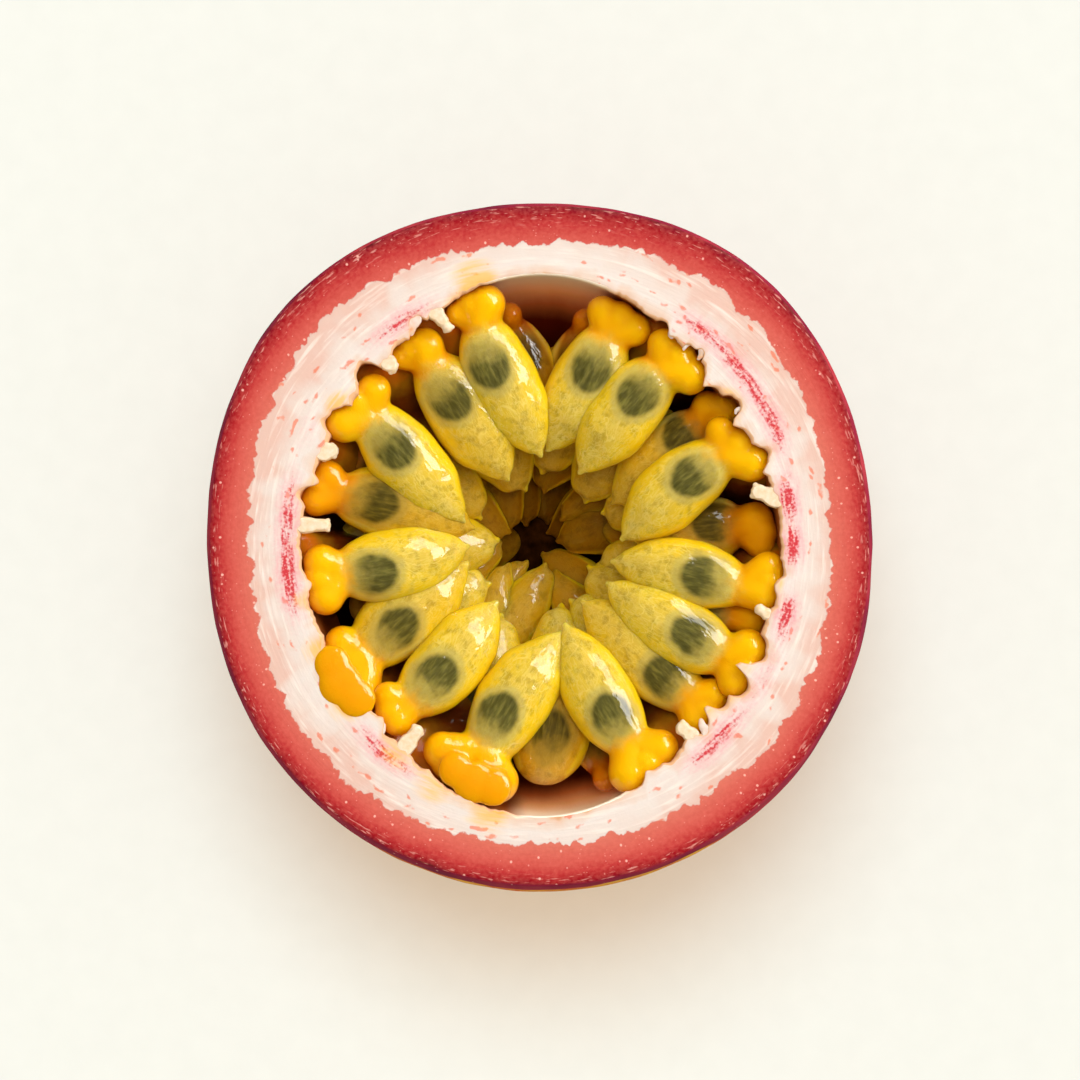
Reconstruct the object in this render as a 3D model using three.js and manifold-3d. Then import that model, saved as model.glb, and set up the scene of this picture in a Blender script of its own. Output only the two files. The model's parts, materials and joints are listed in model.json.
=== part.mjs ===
// Passion fruit half, lying on its rounded back with the cut face up.
//
// Millimetres, +Z up. The origin is under the middle of the half, on the small flat spot that it rests
// on, and the level cut face is its top. The skin with the red flesh is one piece and the white pith
// inside it is another. The hollow of the pith is filled with arils, the juice sacs of the fruit: a
// ring of them lies just under the cut, more lie below that ring, and the deepest are one heap. Each
// aril is a drop-shaped sac that points to the middle, and grows from the pith by a lobed stalk.

import * as THREE from "three";
import { mergeVertices } from "three/addons/utils/BufferGeometryUtils.js";
import Module from "manifold-3d";

const wasm = await Module();
wasm.setup();

// --- driving dimensions ---------------------------------------------------------------------------

const HEIGHT = 35; // from the flat spot to the cut face
const GAP = 0.3; // clearance between pieces that touch in the fruit
const AXIS = [0.07, 0.4]; // the fruit's axis: its uneven outline puts it beside the origin

// The layers of the shell are bowls, each a part of an ellipse turned about the axis. Depths are
// measured down from the cut face. Waves are how a rim departs from a circle, each as the waves in
// a turn, their height and the degrees to a crest.
const SKIN = {
  rim: 33.99, widest: 5, bottom: 35.6,
  waves: [[1, 0.11, 123], [2, 0.51, -170.5], [3, 0.18, 102.6], [4, 0.37, -170.9], [5, 0.13, -77.6]],
};
const RED_FLESH = {
  rim: 30.2, widest: 4, bottom: 31,
  waves: [[1, 0.29, 111], [2, 0.52, -169], [4, 0.53, -163], [5, 0.13, -83]],
};
const PITH = { rim: 25.2, widest: 2.5, bottom: 27, waves: [[2, 1.4, 180]] };
const CHEEK = { height: 0.6, depth: 14, reach: 12 }; // fuller side of the skin, towards -Y

const SEGMENTS = 88; // facets round the shell
const SKIN_ROWS = 8; // rows of facets down each surface of the shell
const FLESH_ROWS = 5;
const PITH_ROWS = 6;

// The red flesh meets the pith in teeth, which fade out below the cut.
const TEETH = { low: -0.35, high: 0.75, fade: 3.5 };

// The lip of the hollow is torn, but for two smooth arcs: degrees to the middle, half width.
const TORN_LIP = { out: 0.25, in: 0.55, fade: 1.6 };
const SMOOTH_ARCS = [[88, 12], [277, 11]];

// Stubs of broken stalks that stand out of the pith just under the cut: root, end and thickness.
const STUBS = [
  { root: [-10.4, 23.2], end: [-9.05, 21.5], thick: 1.0 },
  { root: [-15.9, 19.0], end: [-14.55, 17.5], thick: 1.1 },
  { root: [-22.9, 9.3], end: [-20.4, 9.5], thick: 1.3 },
  { root: [-23.4, 2.0], end: [-21.1, 2.0], thick: 1.1 },
  { root: [-13.55, -20.2], end: [-12.05, -18.2], thick: 1.2 },
  { root: [15.3, -19.2], end: [13.8, -18.0], thick: 1.2 },
  { root: [22.8, -7.0], end: [21.6, -6.2], thick: 0.9 },
  { root: [23.45, 4.8], end: [21.3, 5.5], thick: 1.3 },
];
const STUB_DEPTH = 0.9; // axis of a stub below the cut face
const STUB_ROOT = 1.5; // how far a stub runs back into the pith
const STUB_SHAPE = { rootRadius: 0.6, endRadius: 0.45, sides: 6 }; // radii as shares of the thickness

const SAC_THICKNESS = 0.78; // of a sac's width
const SAC_DROP = 1.8; // a sac's tip is lower than its neck
const SAC_ROOT = 0.9; // how far a sac runs back into the lobes of its stalk
const TIP_SHARPNESS = 0.7; // 1 is a straight cone, less is blunter
const SMALL_LOBE = 1.4; // lobes up to this radius have fewer facets
const LOBE_EXTRA = 1.1; // makes up for the flat facets of so coarse a ball

const aril = (tip, neck, width, depth, ...lobes) => ({ tip, neck, width, depth, lobes });

// The ring under the cut face, clockwise from the top as seen from above. Tip and neck are [x, y]
// from the axis, the fourth size is the neck's depth, and each lobe of the stalk is [x, y, radius].
const RING = [
  aril([-0.05, 9.5], [-6.2, 22.3], 6.5, 3.2, [-5.5, 24.4, 1.9], [-8.3, 23.4, 1.2]),
  aril([0.87, 10.0], [6.9, 21.5], 5.8, 4.4, [6.3, 23.7, 1.6], [9.4, 21.9, 1.7]),
  aril([4.1, 7.7], [12.4, 18.0], 6.4, 3.2, [12.4, 20.3, 1.6], [15.0, 17.2, 1.9]),
  aril([7.5, 4.7], [16.2, 12.7], 5.5, 6.8, [16.9, 14.3, 1.5], [18.8, 13.8, 1.5]),
  aril([8.4, 0.9], [18.4, 9.3], 6.3, 3.2, [18.1, 11.5, 1.5], [21.2, 8.4, 1.9]),
  aril([9.0, 1.8], [20.2, 3.0], 5.6, 7.0, [21.9, 2.8, 1.9]),
  aril([7.45, -1.5], [20.4, -4.2], 6.0, 3.4, [22.9, -2.3, 1.7], [22.3, -4.8, 1.8]),
  aril([7.0, -3.9], [18.8, -11.2], 6.3, 3.2, [20.9, -10.3, 1.9], [19.4, -13.7, 1.6]),
  aril([4.4, -5.7], [15.0, -15.4], 5.8, 4.6, [17.3, -15.0, 1.7], [15.6, -17.5, 1.6]),
  aril([2.6, -8.2], [9.1, -20.2], 6.3, 3.2, [12.0, -20.3, 1.8], [8.9, -22.8, 2.0]),
  aril([1.2, -11.5], [-1.5, -22.3], 6.0, 7.0, [-2.0, -23.3, 1.5]),
  aril([2.0, -8.9], [-5.8, -21.0], 6.6, 3.2, [-9.6, -20.4, 1.9], [-4.8, -23.5, 2.0], [-7.3, -21.6, 1.6]),
  aril([-4.6, -5.8], [-13.2, -16.1], 6.3, 3.2, [-15.3, -15.2, 1.5], [-14.4, -17.5, 1.6]),
  aril([-7.6, -1.8], [-17.8, -11.0], 5.9, 4.4, [-20.0, -9.8, 1.7], [-20.0, -12.4, 2.1], [-18.2, -14.5, 2.0]),
  aril([-7.55, 0.0], [-20.2, -2.7], 6.6, 3.2, [-22.0, -1.7, 1.8], [-21.6, -5.1, 1.8]),
  aril([-7.05, 2.0], [-20.2, 5.3], 5.8, 4.6, [-21.4, 7.0, 1.6], [-22.6, 4.7, 1.6]),
  aril([-7.9, 2.7], [-17.2, 13.4], 6.3, 3.2, [-16.8, 15.6, 1.7], [-19.8, 12.4, 1.9]),
  aril([-3.4, 7.0], [-11.3, 18.5], 6.0, 4.2, [-11.7, 20.1, 1.9], [-14.1, 19.1, 1.2]),
];

// Arils that show in the gaps of the ring, below it.
const BEHIND = [
  aril([1.0, 12.0], [-3.1, 22.6], 5.4, 8.0, [-3.2, 23.6, 1.3]),
  aril([2.4, 11.5], [4.3, 21.8], 5.4, 8.4, [4.6, 23.0, 1.3]),
  aril([9.5, -4.6], [19.6, -7.0], 5.2, 7.6, [21.0, -7.4, 1.6]),
  aril([3.4, -12.0], [6.4, -22.3], 5.2, 7.6, [6.6, -23.4, 1.3]),
  aril([-9.4, -3.4], [-19.4, -6.2], 5.2, 7.6, [-20.8, -6.0, 1.7]),
  aril([-9.4, 4.6], [-19.2, 9.4], 5.2, 7.8, [-20.4, 10.2, 1.4]),
];

// The second ring: its tips show inside the first one's, as [x, y].
const SECOND_TIPS = [
  [0.95, 8.0], [4.1, 5.4], [6.8, 3.1], [6.2, -1.0], [4.8, -2.6], [3.8, -5.0],
  [1.45, -6.2], [-3.5, -7.4], [-5.7, -3.0], [-4.6, 0.2], [-5.9, 3.9], [-2.3, 6.0],
];
const SECOND_RING = { width: 6.6, depth: 11.4, drop: 0.8, neck: 20.2, lean: 7 };

// The heap below: rings of sacs fused to a core, each ring deeper and narrower than the one above.
const HEAP_RINGS = [
  { count: 11, width: 7.0, depth: 17.2, drop: 0.4, tip: 3.9, neck: 17.2, turn: 8 },
  { count: 8, width: 6.4, depth: 21.0, drop: 0.2, tip: 2.3, neck: 12.6, turn: 27 },
];
const HEAP_CORE = { radius: 11.6, depth: 23.0, halfHeight: 2.8 };
const HEAP_STRAY = { tip: 0.9, degrees: 5 }; // how far a sac of the heap strays from its ring's rule

// Facets of a sac or a ball: round it and along it.
const RING_FACETS = [10, 6];
const LOWER_FACETS = [8, 5];
const HEAP_FACETS = [6, 5];
const CORE_FACETS = [12, 6];

const COLORS = { red: 0xdd6157, white: 0xf9ded0, yellow: 0xdcb633, brown: 0xb08a2c };

// --- helpers --------------------------------------------------------------------------------------

const { degToRad, radToDeg } = THREE.MathUtils;
const FULL_TURN = 2 * Math.PI;

const random = (() => {
  let state = 20;
  return () => {
    state = (state * 16807) % 2147483647; // Lehmer generator: the same draws every time
    return state / 2147483647;
  };
})();
const between = (low, high) => low + (high - low) * random();

/** A closed solid from a three.js geometry, turned the right way out. */
function solidOf(geometry) {
  geometry.deleteAttribute("normal");
  geometry.deleteAttribute("uv");
  const welded = mergeVertices(geometry);
  const corners = [];
  for (let i = 0; i < welded.index.count; i += 3) {
    const face = [0, 1, 2].map((corner) => welded.index.getX(i + corner));
    if (new Set(face).size === 3) corners.push(...face); // a facet at a pole can have no area
  }
  const vertProperties = welded.attributes.position.array;
  const make = (order) => {
    const triVerts = Uint32Array.from(order);
    return new wasm.Manifold(new wasm.Mesh({ numProp: 3, vertProperties, triVerts }));
  };
  const solid = make(corners);
  return solid.volume() > 0 ? solid : make(corners.reverse());
}

/** The largest piece of a solid: a cut can leave a loose scrap. */
function largest(solid) {
  return solid.decompose().reduce((best, piece) => (piece.volume() > best.volume() ? piece : best));
}

/** A named mesh of a solid, whose own frame is placed in the fruit by a matrix. */
function meshOf(name, solid, color, matrix = new THREE.Matrix4()) {
  const { vertProperties, triVerts } = solid.getMesh();
  const geometry = new THREE.BufferGeometry();
  geometry.setAttribute("position", new THREE.BufferAttribute(vertProperties, 3));
  geometry.setIndex(new THREE.BufferAttribute(triVerts, 1));
  geometry.applyMatrix4(matrix.clone().invert());
  geometry.computeVertexNormals();
  const material = new THREE.MeshStandardMaterial({ color, roughness: 0.35, metalness: 0 });
  const mesh = new THREE.Mesh(geometry, material);
  mesh.name = name;
  mesh.applyMatrix4(matrix);
  return mesh;
}

// --- the shell ------------------------------------------------------------------------------------

/** Radius of a bowl at a depth, as a share of its radius at the cut. */
function share(bowl, depth) {
  const level = (d) => (d - bowl.widest) / (bowl.bottom - bowl.widest);
  const at = (d) => Math.sqrt(Math.max(0, 1 - level(d) ** 2));
  return at(depth) / at(0);
}

/** Radius of a bowl's uneven rim at an angle. */
function rimRadius(bowl, angle) {
  const add = (sum, [waves, height, crest]) => sum + height * Math.cos(waves * angle - degToRad(crest));
  return bowl.waves.reduce(add, bowl.rim);
}

/** Depths of rows down a bowl, evenly spaced along its curve, from the cut to a last depth. */
function rowDepths(bowl, rows, last = bowl.bottom) {
  const half = bowl.bottom - bowl.widest;
  const first = Math.asin(-bowl.widest / half);
  const end = Math.asin((last - bowl.widest) / half);
  const depthOf = (i) => bowl.widest + half * Math.sin(first + ((end - first) * i) / rows);
  return Array.from({ length: rows + 1 }, (_, i) => depthOf(i));
}

/** A solid turned about the axis from rows, each a function of the angle that gives [radius, depth]. */
function turned(rows) {
  const profile = rows.map((row) => new THREE.Vector2(...row(0)));
  const geometry = new THREE.LatheGeometry(profile, SEGMENTS);
  const position = geometry.attributes.position;
  for (let i = 0; i < position.count; i++) {
    const angle = ((Math.floor(i / rows.length) % SEGMENTS) * FULL_TURN) / SEGMENTS;
    const [radius, depth] = rows[i % rows.length](angle);
    position.setXYZ(i, radius * Math.cos(angle), radius * Math.sin(angle), HEIGHT - depth);
  }
  return solidOf(geometry);
}

/** One value for each facet round the shell, drawn by a rule, as a function of the angle. */
function roundTheShell(draw) {
  const values = Array.from({ length: SEGMENTS }, (_, i) => draw(i, (360 * i) / SEGMENTS));
  return (angle) => values[Math.round((angle / FULL_TURN) * SEGMENTS) % SEGMENTS];
}

const tooth = roundTheShell((i) => (i % 2 ? between(0.2, TEETH.high) : between(TEETH.low, 0)));
const tear = roundTheShell((i, degrees) => {
  const drawn = between(-TORN_LIP.in, TORN_LIP.out);
  return SMOOTH_ARCS.some(([middle, half]) => Math.abs(degrees - middle) < half) ? 0 : drawn;
});
const fade = (depth, reach) => Math.max(0, 1 - depth / reach);

const skinRow = (depth) => (angle) => {
  const towards = Math.max(0, -Math.sin(angle)) ** 3;
  const fullness = Math.exp(-(((depth - CHEEK.depth) / CHEEK.reach) ** 2));
  const belowCut = Math.min(1, depth / SKIN.widest);
  const cheek = CHEEK.height * towards * fullness * belowCut;
  return [rimRadius(SKIN, angle) * share(SKIN, depth) + cheek, depth];
};

const boundaryRow = (depth, gap) => (angle) => {
  const radius = rimRadius(RED_FLESH, angle) * share(RED_FLESH, depth);
  return [radius + tooth(angle) * fade(depth, TEETH.fade) - gap, depth];
};

const hollowRow = (depth) => (angle) => {
  const radius = rimRadius(PITH, angle) * share(PITH, depth);
  return [radius + tear(angle) * fade(depth, TORN_LIP.fade), depth];
};

/** Rows up the side where the pith meets the red flesh, from its lowest point to the cut. */
function boundaryRows(gap) {
  const depths = rowDepths(RED_FLESH, FLESH_ROWS).slice(0, -1);
  depths[1] = TEETH.fade;
  const sides = depths.reverse().map((depth) => boundaryRow(depth, gap));
  return [() => [0, RED_FLESH.bottom - gap], ...sides];
}

function redShell() {
  const outside = rowDepths(SKIN, SKIN_ROWS, HEIGHT).map(skinRow);
  return turned([...boundaryRows(0), ...outside, () => [0, HEIGHT]]);
}

function whitePith() {
  const depths = rowDepths(PITH, PITH_ROWS).slice(0, -1);
  depths[1] = TORN_LIP.fade;
  return turned([...boundaryRows(GAP), ...depths.map(hollowRow), () => [0, PITH.bottom]]);
}

/** The stub of a broken stalk, from inside the pith to its blunt end. */
function stub({ root, end, thick }) {
  const from = new THREE.Vector3(...root, HEIGHT - STUB_DEPTH);
  const to = new THREE.Vector3(...end, HEIGHT - STUB_DEPTH);
  const along = to.clone().sub(from).normalize();
  from.addScaledVector(along, -STUB_ROOT);
  const { rootRadius, endRadius, sides } = STUB_SHAPE;
  const length = from.distanceTo(to);
  const geometry = new THREE.CylinderGeometry(thick * endRadius, thick * rootRadius, length, sides);
  const up = new THREE.Vector3(0, 1, 0);
  geometry.applyQuaternion(new THREE.Quaternion().setFromUnitVectors(up, along));
  const middle = from.lerp(to, 0.5);
  return solidOf(geometry.translate(middle.x, middle.y, middle.z));
}

// --- the arils ------------------------------------------------------------------------------------

/** Half width of a sac along its length, 0 at the neck to 1 at the tip, as a share of its widest. */
function plumpness(s) {
  const shape = (t) => Math.sqrt(t) * (1 - t) ** TIP_SHARPNESS;
  return shape(THREE.MathUtils.clamp(s, 0, 1)) / shape(0.5 / (0.5 + TIP_SHARPNESS));
}

/** The frame of an aril: at the root of its sac, with +X towards the tip and +Z up. */
function arilFrame({ tip, neck, depth, drop = SAC_DROP }) {
  const from = new THREE.Vector3(...neck, HEIGHT - depth);
  const to = new THREE.Vector3(...tip, HEIGHT - depth - drop);
  const along = to.clone().sub(from).normalize();
  from.addScaledVector(along, -SAC_ROOT);
  const across = new THREE.Vector3(0, 0, 1).cross(along).normalize();
  const up = along.clone().cross(across);
  const matrix = new THREE.Matrix4().makeBasis(along, across, up).setPosition(from);
  return { length: from.distanceTo(to), matrix };
}

/** The drop-shaped sac of an aril, grown by a clearance when it is to cut its neighbours. */
function sac(spec, facets, grow) {
  const { length, matrix } = arilFrame(spec);
  const geometry = new THREE.SphereGeometry(1, ...facets);
  const position = geometry.attributes.position;
  const point = new THREE.Vector3();
  for (let i = 0; i < position.count; i++) {
    point.fromBufferAttribute(position, i);
    const s = (1 - point.y) / 2; // the ball's own poles become the root and the tip
    const girth = Math.hypot(point.x, point.z);
    const [cos, sin] = girth < 1e-6 ? [0, 0] : [point.x / girth, point.z / girth];
    const half = (spec.width / 2) * plumpness(s);
    position.setX(i, s * length + grow * (2 * s - 1));
    position.setY(i, (half + grow) * cos);
    position.setZ(i, (half * SAC_THICKNESS + grow) * sin);
  }
  return solidOf(geometry.applyMatrix4(matrix));
}

/** A round lobe of an aril's stalk, moved inwards where it would press into the pith. */
function lobe([x, y, radius], depth, grow) {
  const wall = rimRadius(PITH, Math.atan2(y, x)) * share(PITH, depth + radius / 2);
  const size = radius * LOBE_EXTRA;
  const inwards = Math.min(1, (wall - 2 * GAP - size) / Math.hypot(x, y));
  const Ball = radius > SMALL_LOBE ? THREE.OctahedronGeometry : THREE.IcosahedronGeometry;
  const ball = new Ball(size + grow, radius > SMALL_LOBE ? 1 : 0);
  return solidOf(ball.translate(x * inwards, y * inwards, HEIGHT - depth));
}

function arilSolid(spec, grow = 0) {
  const join = (whole, place) => whole.add(lobe(place, spec.depth, grow));
  return spec.lobes.reduce(join, sac(spec, spec.facets, grow));
}

/** An aril of a deeper ring: its neck is farther out than its tip, and turned a little from it. */
function radialAril(rule, tipRadius, degrees, lean = 0) {
  const at = (radius, angle) => [radius * Math.cos(degToRad(angle)), radius * Math.sin(degToRad(angle))];
  return { ...rule, tip: at(tipRadius, degrees), neck: at(rule.neck, degrees + lean), lobes: [] };
}

const secondRing = SECOND_TIPS.map(([x, y]) => {
  const lean = between(-SECOND_RING.lean, SECOND_RING.lean);
  return radialAril(SECOND_RING, Math.hypot(x, y), radToDeg(Math.atan2(y, x)), lean);
});

/** The deepest arils: rings of sacs that grow out of one core. */
function deepArils() {
  const core = new THREE.SphereGeometry(1, ...CORE_FACETS).rotateX(Math.PI / 2);
  core.scale(HEAP_CORE.radius, HEAP_CORE.radius, HEAP_CORE.halfHeight);
  let heap = solidOf(core.translate(0, 0, HEIGHT - HEAP_CORE.depth));
  for (const rule of HEAP_RINGS) {
    for (let i = 0; i < rule.count; i++) {
      const degrees = rule.turn + (360 * i) / rule.count + between(-1, 1) * HEAP_STRAY.degrees;
      const tip = rule.tip + between(-1, 1) * HEAP_STRAY.tip;
      heap = heap.add(sac(radialAril(rule, tip, degrees), HEAP_FACETS, 0));
    }
  }
  return heap;
}

// --- the fruit ------------------------------------------------------------------------------------

const fruit = new THREE.Group();
fruit.position.set(AXIS[0], AXIS[1], 0);

const named = (prefix, facets, specs) =>
  specs.map((spec, i) => ({ ...spec, facets, name: `${prefix}_${String(i + 1).padStart(2, "0")}` }));
const arils = [
  ...named("ring_aril", RING_FACETS, RING),
  ...named("behind_aril", LOWER_FACETS, BEHIND),
  ...named("inner_aril", LOWER_FACETS, secondRing),
];

// The shallowest arils keep their shape, and each deeper one is cut back from those above it.
arils.sort((a, b) => a.depth - b.depth);
let taken = null; // the arils so far, each grown by the clearance
for (const spec of arils) {
  const whole = arilSolid(spec);
  const solid = taken ? largest(whole.subtract(taken)) : whole;
  const color = spec.depth < SECOND_RING.depth ? COLORS.yellow : COLORS.brown;
  fruit.add(meshOf(spec.name, solid, color, arilFrame(spec).matrix));
  const grown = arilSolid(spec, GAP);
  taken = taken ? taken.add(grown) : grown;
}
fruit.add(meshOf("deep_arils", largest(deepArils().subtract(taken)), COLORS.brown));

const pith = STUBS.reduce((solid, spec) => solid.add(stub(spec).subtract(taken)), whitePith());
fruit.add(meshOf("white_pith", largest(pith), COLORS.white));
fruit.add(meshOf("red_shell", redShell(), COLORS.red));

export default fruit;
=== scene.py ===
# %% [markdown]
# # Half a passion fruit
#
# The frame holds the plain solids of the fruit at their true size: a bowl of skin and red flesh, a bowl
# of white pith inside it, and the juice sacs that botanists call arils. This lesson dresses them. The
# shell is turned on a lathe and then made uneven. Each aril is a drop with a lobed stalk, fused into one
# wet skin. The colours are painted by rules that know where the seam, the lip and the seed are.

# %% The frame
import json
import math

import bmesh
import bpy
import numpy as np
from mathutils import Matrix, Vector, noise

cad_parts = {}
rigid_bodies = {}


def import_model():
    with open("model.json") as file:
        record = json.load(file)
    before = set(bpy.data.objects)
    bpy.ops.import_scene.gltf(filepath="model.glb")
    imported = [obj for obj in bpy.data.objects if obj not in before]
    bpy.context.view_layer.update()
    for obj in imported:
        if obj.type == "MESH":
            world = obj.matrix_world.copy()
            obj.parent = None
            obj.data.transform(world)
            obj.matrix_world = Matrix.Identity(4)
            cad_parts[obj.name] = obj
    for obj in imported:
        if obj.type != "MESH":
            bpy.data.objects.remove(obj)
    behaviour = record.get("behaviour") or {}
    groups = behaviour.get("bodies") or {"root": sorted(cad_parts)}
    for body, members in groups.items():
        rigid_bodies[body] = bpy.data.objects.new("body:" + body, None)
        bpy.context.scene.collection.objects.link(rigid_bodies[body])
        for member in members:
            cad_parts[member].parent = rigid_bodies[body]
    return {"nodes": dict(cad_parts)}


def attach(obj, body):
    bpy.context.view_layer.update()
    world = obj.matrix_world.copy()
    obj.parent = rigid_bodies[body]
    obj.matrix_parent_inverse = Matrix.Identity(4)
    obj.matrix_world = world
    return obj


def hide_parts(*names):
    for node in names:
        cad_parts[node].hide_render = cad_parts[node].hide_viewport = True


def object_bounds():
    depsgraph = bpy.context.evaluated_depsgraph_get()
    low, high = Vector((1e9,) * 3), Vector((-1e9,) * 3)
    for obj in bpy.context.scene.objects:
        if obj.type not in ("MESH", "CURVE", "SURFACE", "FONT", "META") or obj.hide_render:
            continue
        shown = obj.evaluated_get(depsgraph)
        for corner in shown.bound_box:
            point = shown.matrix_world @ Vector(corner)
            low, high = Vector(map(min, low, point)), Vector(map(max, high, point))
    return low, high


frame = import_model()
cad_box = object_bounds()
MM = 0.001
HEIGHT = cad_box[1].z / MM
AXIS = Vector((0.07, 0.4, 0))  # mm: the fruit's axis stands beside the frame's origin
FULL_TURN = 2 * math.pi
print(f"{len(frame['nodes'])} nodes, cut face {HEIGHT:.1f} mm up")

# %% [markdown]
# ## Where the arils lie
#
# Eighteen arils lie in a ring just under the cut, as the spokes of a wheel do, and six more show in the
# gaps below them. Each has its own length, lean and lobes. Tips, necks and lobes are measured from the
# fruit's axis, clockwise from the top. They come first because the lip of the hollow gives way to them.

# %% Table of arils
RING = [  # tip, neck, width, depth, seed, lobes of the stalk as x, y, radius
    ((-0.05, 9.5), (-6.2, 22.3), 6.5, 3.2, (-5.55, 18.2), [(-5.5, 24.4, 1.9), (-8.3, 23.4, 1.2)]),
    ((0.87, 10.0), (6.9, 21.5), 5.8, 4.4, (5.1, 18.3), [(6.3, 23.7, 1.6), (9.4, 21.9, 1.7)]),
    ((4.1, 7.7), (12.4, 18.0), 6.4, 3.2, (10.3, 15.2), [(12.4, 20.3, 1.6), (15.0, 17.2, 1.9)]),
    ((7.5, 4.7), (16.2, 12.7), 5.5, 6.8, (14.5, 12.0), [(16.9, 14.3, 1.5), (18.8, 13.8, 1.5)]),
    ((8.4, 0.9), (18.4, 9.3), 6.3, 3.2, (15.8, 7.0), [(18.1, 11.5, 1.5), (21.2, 8.4, 1.9)]),
    ((9.0, 1.8), (20.2, 2.2), 5.8, 7.0, (18.1, 3.0), [(21.7, 2.6, 1.9), (22.2, 0.4, 1.5)]),
    ((7.45, -1.5), (20.4, -4.2), 6.0, 3.4, (16.6, -3.5), [(22.9, -2.3, 1.7), (22.3, -4.8, 1.8)]),
    ((7.0, -3.9), (18.8, -11.2), 6.3, 3.2, (15.8, -9.0), [(20.9, -10.3, 1.9), (19.4, -13.7, 1.6)]),
    ((4.4, -5.7), (15.0, -15.4), 5.8, 4.6, (12.6, -13.7), [(17.3, -15.0, 1.7), (15.6, -17.5, 1.6)]),
    ((2.6, -8.2), (9.1, -20.2), 6.3, 3.2, (7.6, -17.2), [(12.0, -20.3, 1.8), (8.9, -22.8, 2.0)]),
    ((1.8, -11.5), (0.1, -23.2), 6.4, 6.2, (0.6, -19.2), []),
    ((2.0, -8.9), (-5.8, -21.0), 6.6, 3.2, (-4.9, -17.0),
     [(-9.8, -20.6, 1.9), (-8.6, -22.6, 1.3), (-4.5, -23.6, 2.2)]),
    ((-4.6, -5.8), (-13.2, -16.1), 6.3, 3.2, (-10.9, -13.2), [(-15.3, -15.2, 1.5), (-14.4, -17.5, 1.6)]),
    ((-7.6, -1.8), (-17.8, -11.0), 5.9, 4.4, (-14.4, -8.8),
     [(-20.0, -9.8, 1.7), (-20.0, -12.4, 2.1), (-18.2, -14.5, 2.0)]),
    ((-7.55, 0.0), (-20.2, -2.7), 6.6, 3.2, (-17.05, -2.7), [(-22.0, -1.7, 1.8), (-21.6, -5.1, 1.8)]),
    ((-7.05, 2.0), (-20.2, 5.3), 5.8, 4.6, (-17.05, 4.2), [(-21.4, 7.0, 1.6), (-22.6, 4.7, 1.6)]),
    ((-7.9, 2.7), (-17.2, 13.4), 6.3, 3.2, (-14.7, 10.3), [(-16.8, 15.6, 1.7), (-19.8, 12.4, 1.9)]),
    ((-3.4, 7.0), (-11.3, 18.5), 6.0, 4.2, (-10.05, 14.5), [(-11.7, 20.1, 1.9), (-14.1, 19.1, 1.2)]),
]
BEHIND = [  # tip, neck, width, depth, lobes
    ((1.0, 12.0), (-3.1, 22.6), 5.4, 8.0, [(-3.2, 23.6, 1.3)]),
    ((2.4, 11.5), (4.3, 21.8), 5.4, 8.4, [(4.6, 23.0, 1.3)]),
    ((9.5, -4.6), (19.6, -7.0), 5.2, 6.2, [(21.4, -7.4, 1.6)]),
    ((3.4, -12.0), (6.4, -22.3), 5.2, 7.6, [(6.6, -23.4, 1.3)]),
    ((-9.4, -3.4), (-18.6, -6.2), 5.2, 8.6, []),
    ((-9.4, 4.6), (-19.2, 9.4), 5.2, 7.8, [(-20.4, 10.2, 1.4)]),
]
LOBES = [lobe for aril in RING for lobe in aril[-1]]
print(f"{len(RING)} arils in the ring with {len(LOBES)} lobes, {len(BEHIND)} below them")

# %% [markdown]
# ## The bowls
#
# A fruit is nearly round, so every layer is described by one profile and one rim. The profile is part of
# an ellipse, and the rim is a circle with a few slow waves. With both as functions, any point of the
# shell can ask how far it is from the seam between red and white, and the materials use that later.

# %% Bowl shapes
SKIN = {
    "rim": 33.99, "widest": 5, "bottom": 35.6,
    "waves": [(1, 0.35, 100), (2, 0.51, -170.5), (3, 0.18, 102.6), (4, 0.37, -170.9), (5, 0.13, -77.6)],
}
RED_FLESH = {
    "rim": 30.2, "widest": 4, "bottom": 31,
    "waves": [(1, 0.48, 102), (2, 0.52, -169), (4, 0.53, -163), (5, 0.13, -83)],
}
PITH = {"rim": 24.7, "widest": 2.5, "bottom": 27, "waves": [(2, 1.5, 180), (4, 0.85, 0)]}
CHEEK = {"height": 0.45, "depth": 14, "reach": 12}  # fuller side of the skin, towards -Y


def share(bowl, depth):
    """Radius of a bowl at a depth, as a share of its radius at the cut."""
    half = bowl["bottom"] - bowl["widest"]

    def at(level):
        return np.sqrt(np.maximum(0, 1 - ((level - bowl["widest"]) / half) ** 2))

    return at(depth) / at(0)


def rim(bowl, angle):
    """Radius of a bowl's uneven rim at an angle."""
    waves = [height * np.cos(n * angle - math.radians(crest)) for n, height, crest in bowl["waves"]]
    return bowl["rim"] + sum(waves)


def rows(bowl, count, first, last):
    """Points down a bowl's even profile, as radius and depth, evenly spaced along its curve."""
    half = bowl["bottom"] - bowl["widest"]
    ends = [math.asin((depth - bowl["widest"]) / half) for depth in (first, last)]
    depths = bowl["widest"] + half * np.sin(np.linspace(*ends, count + 1))
    return [(bowl["rim"] * float(share(bowl, depth)), float(depth)) for depth in depths]


def smooth(low, high, value):
    """0 at low, 1 at high, with a soft step between."""
    t = np.clip((value - low) / (high - low), 0, 1)
    return t * t * (3 - 2 * t)


print(f"skin {SKIN['rim']} mm, seam {RED_FLESH['rim']} mm and lip {PITH['rim']} mm from the axis")

# %% [markdown]
# ## Ragged edges
#
# Where the pith meets the red flesh, white spikes run out between round red scallops. Ridged noise does
# that: it is a smooth noise folded at zero, which leaves sharp crests. The lip of the hollow is torn
# where arils were attached and smooth over two arcs, and it bulges out round the lobes of the stalks.

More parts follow.
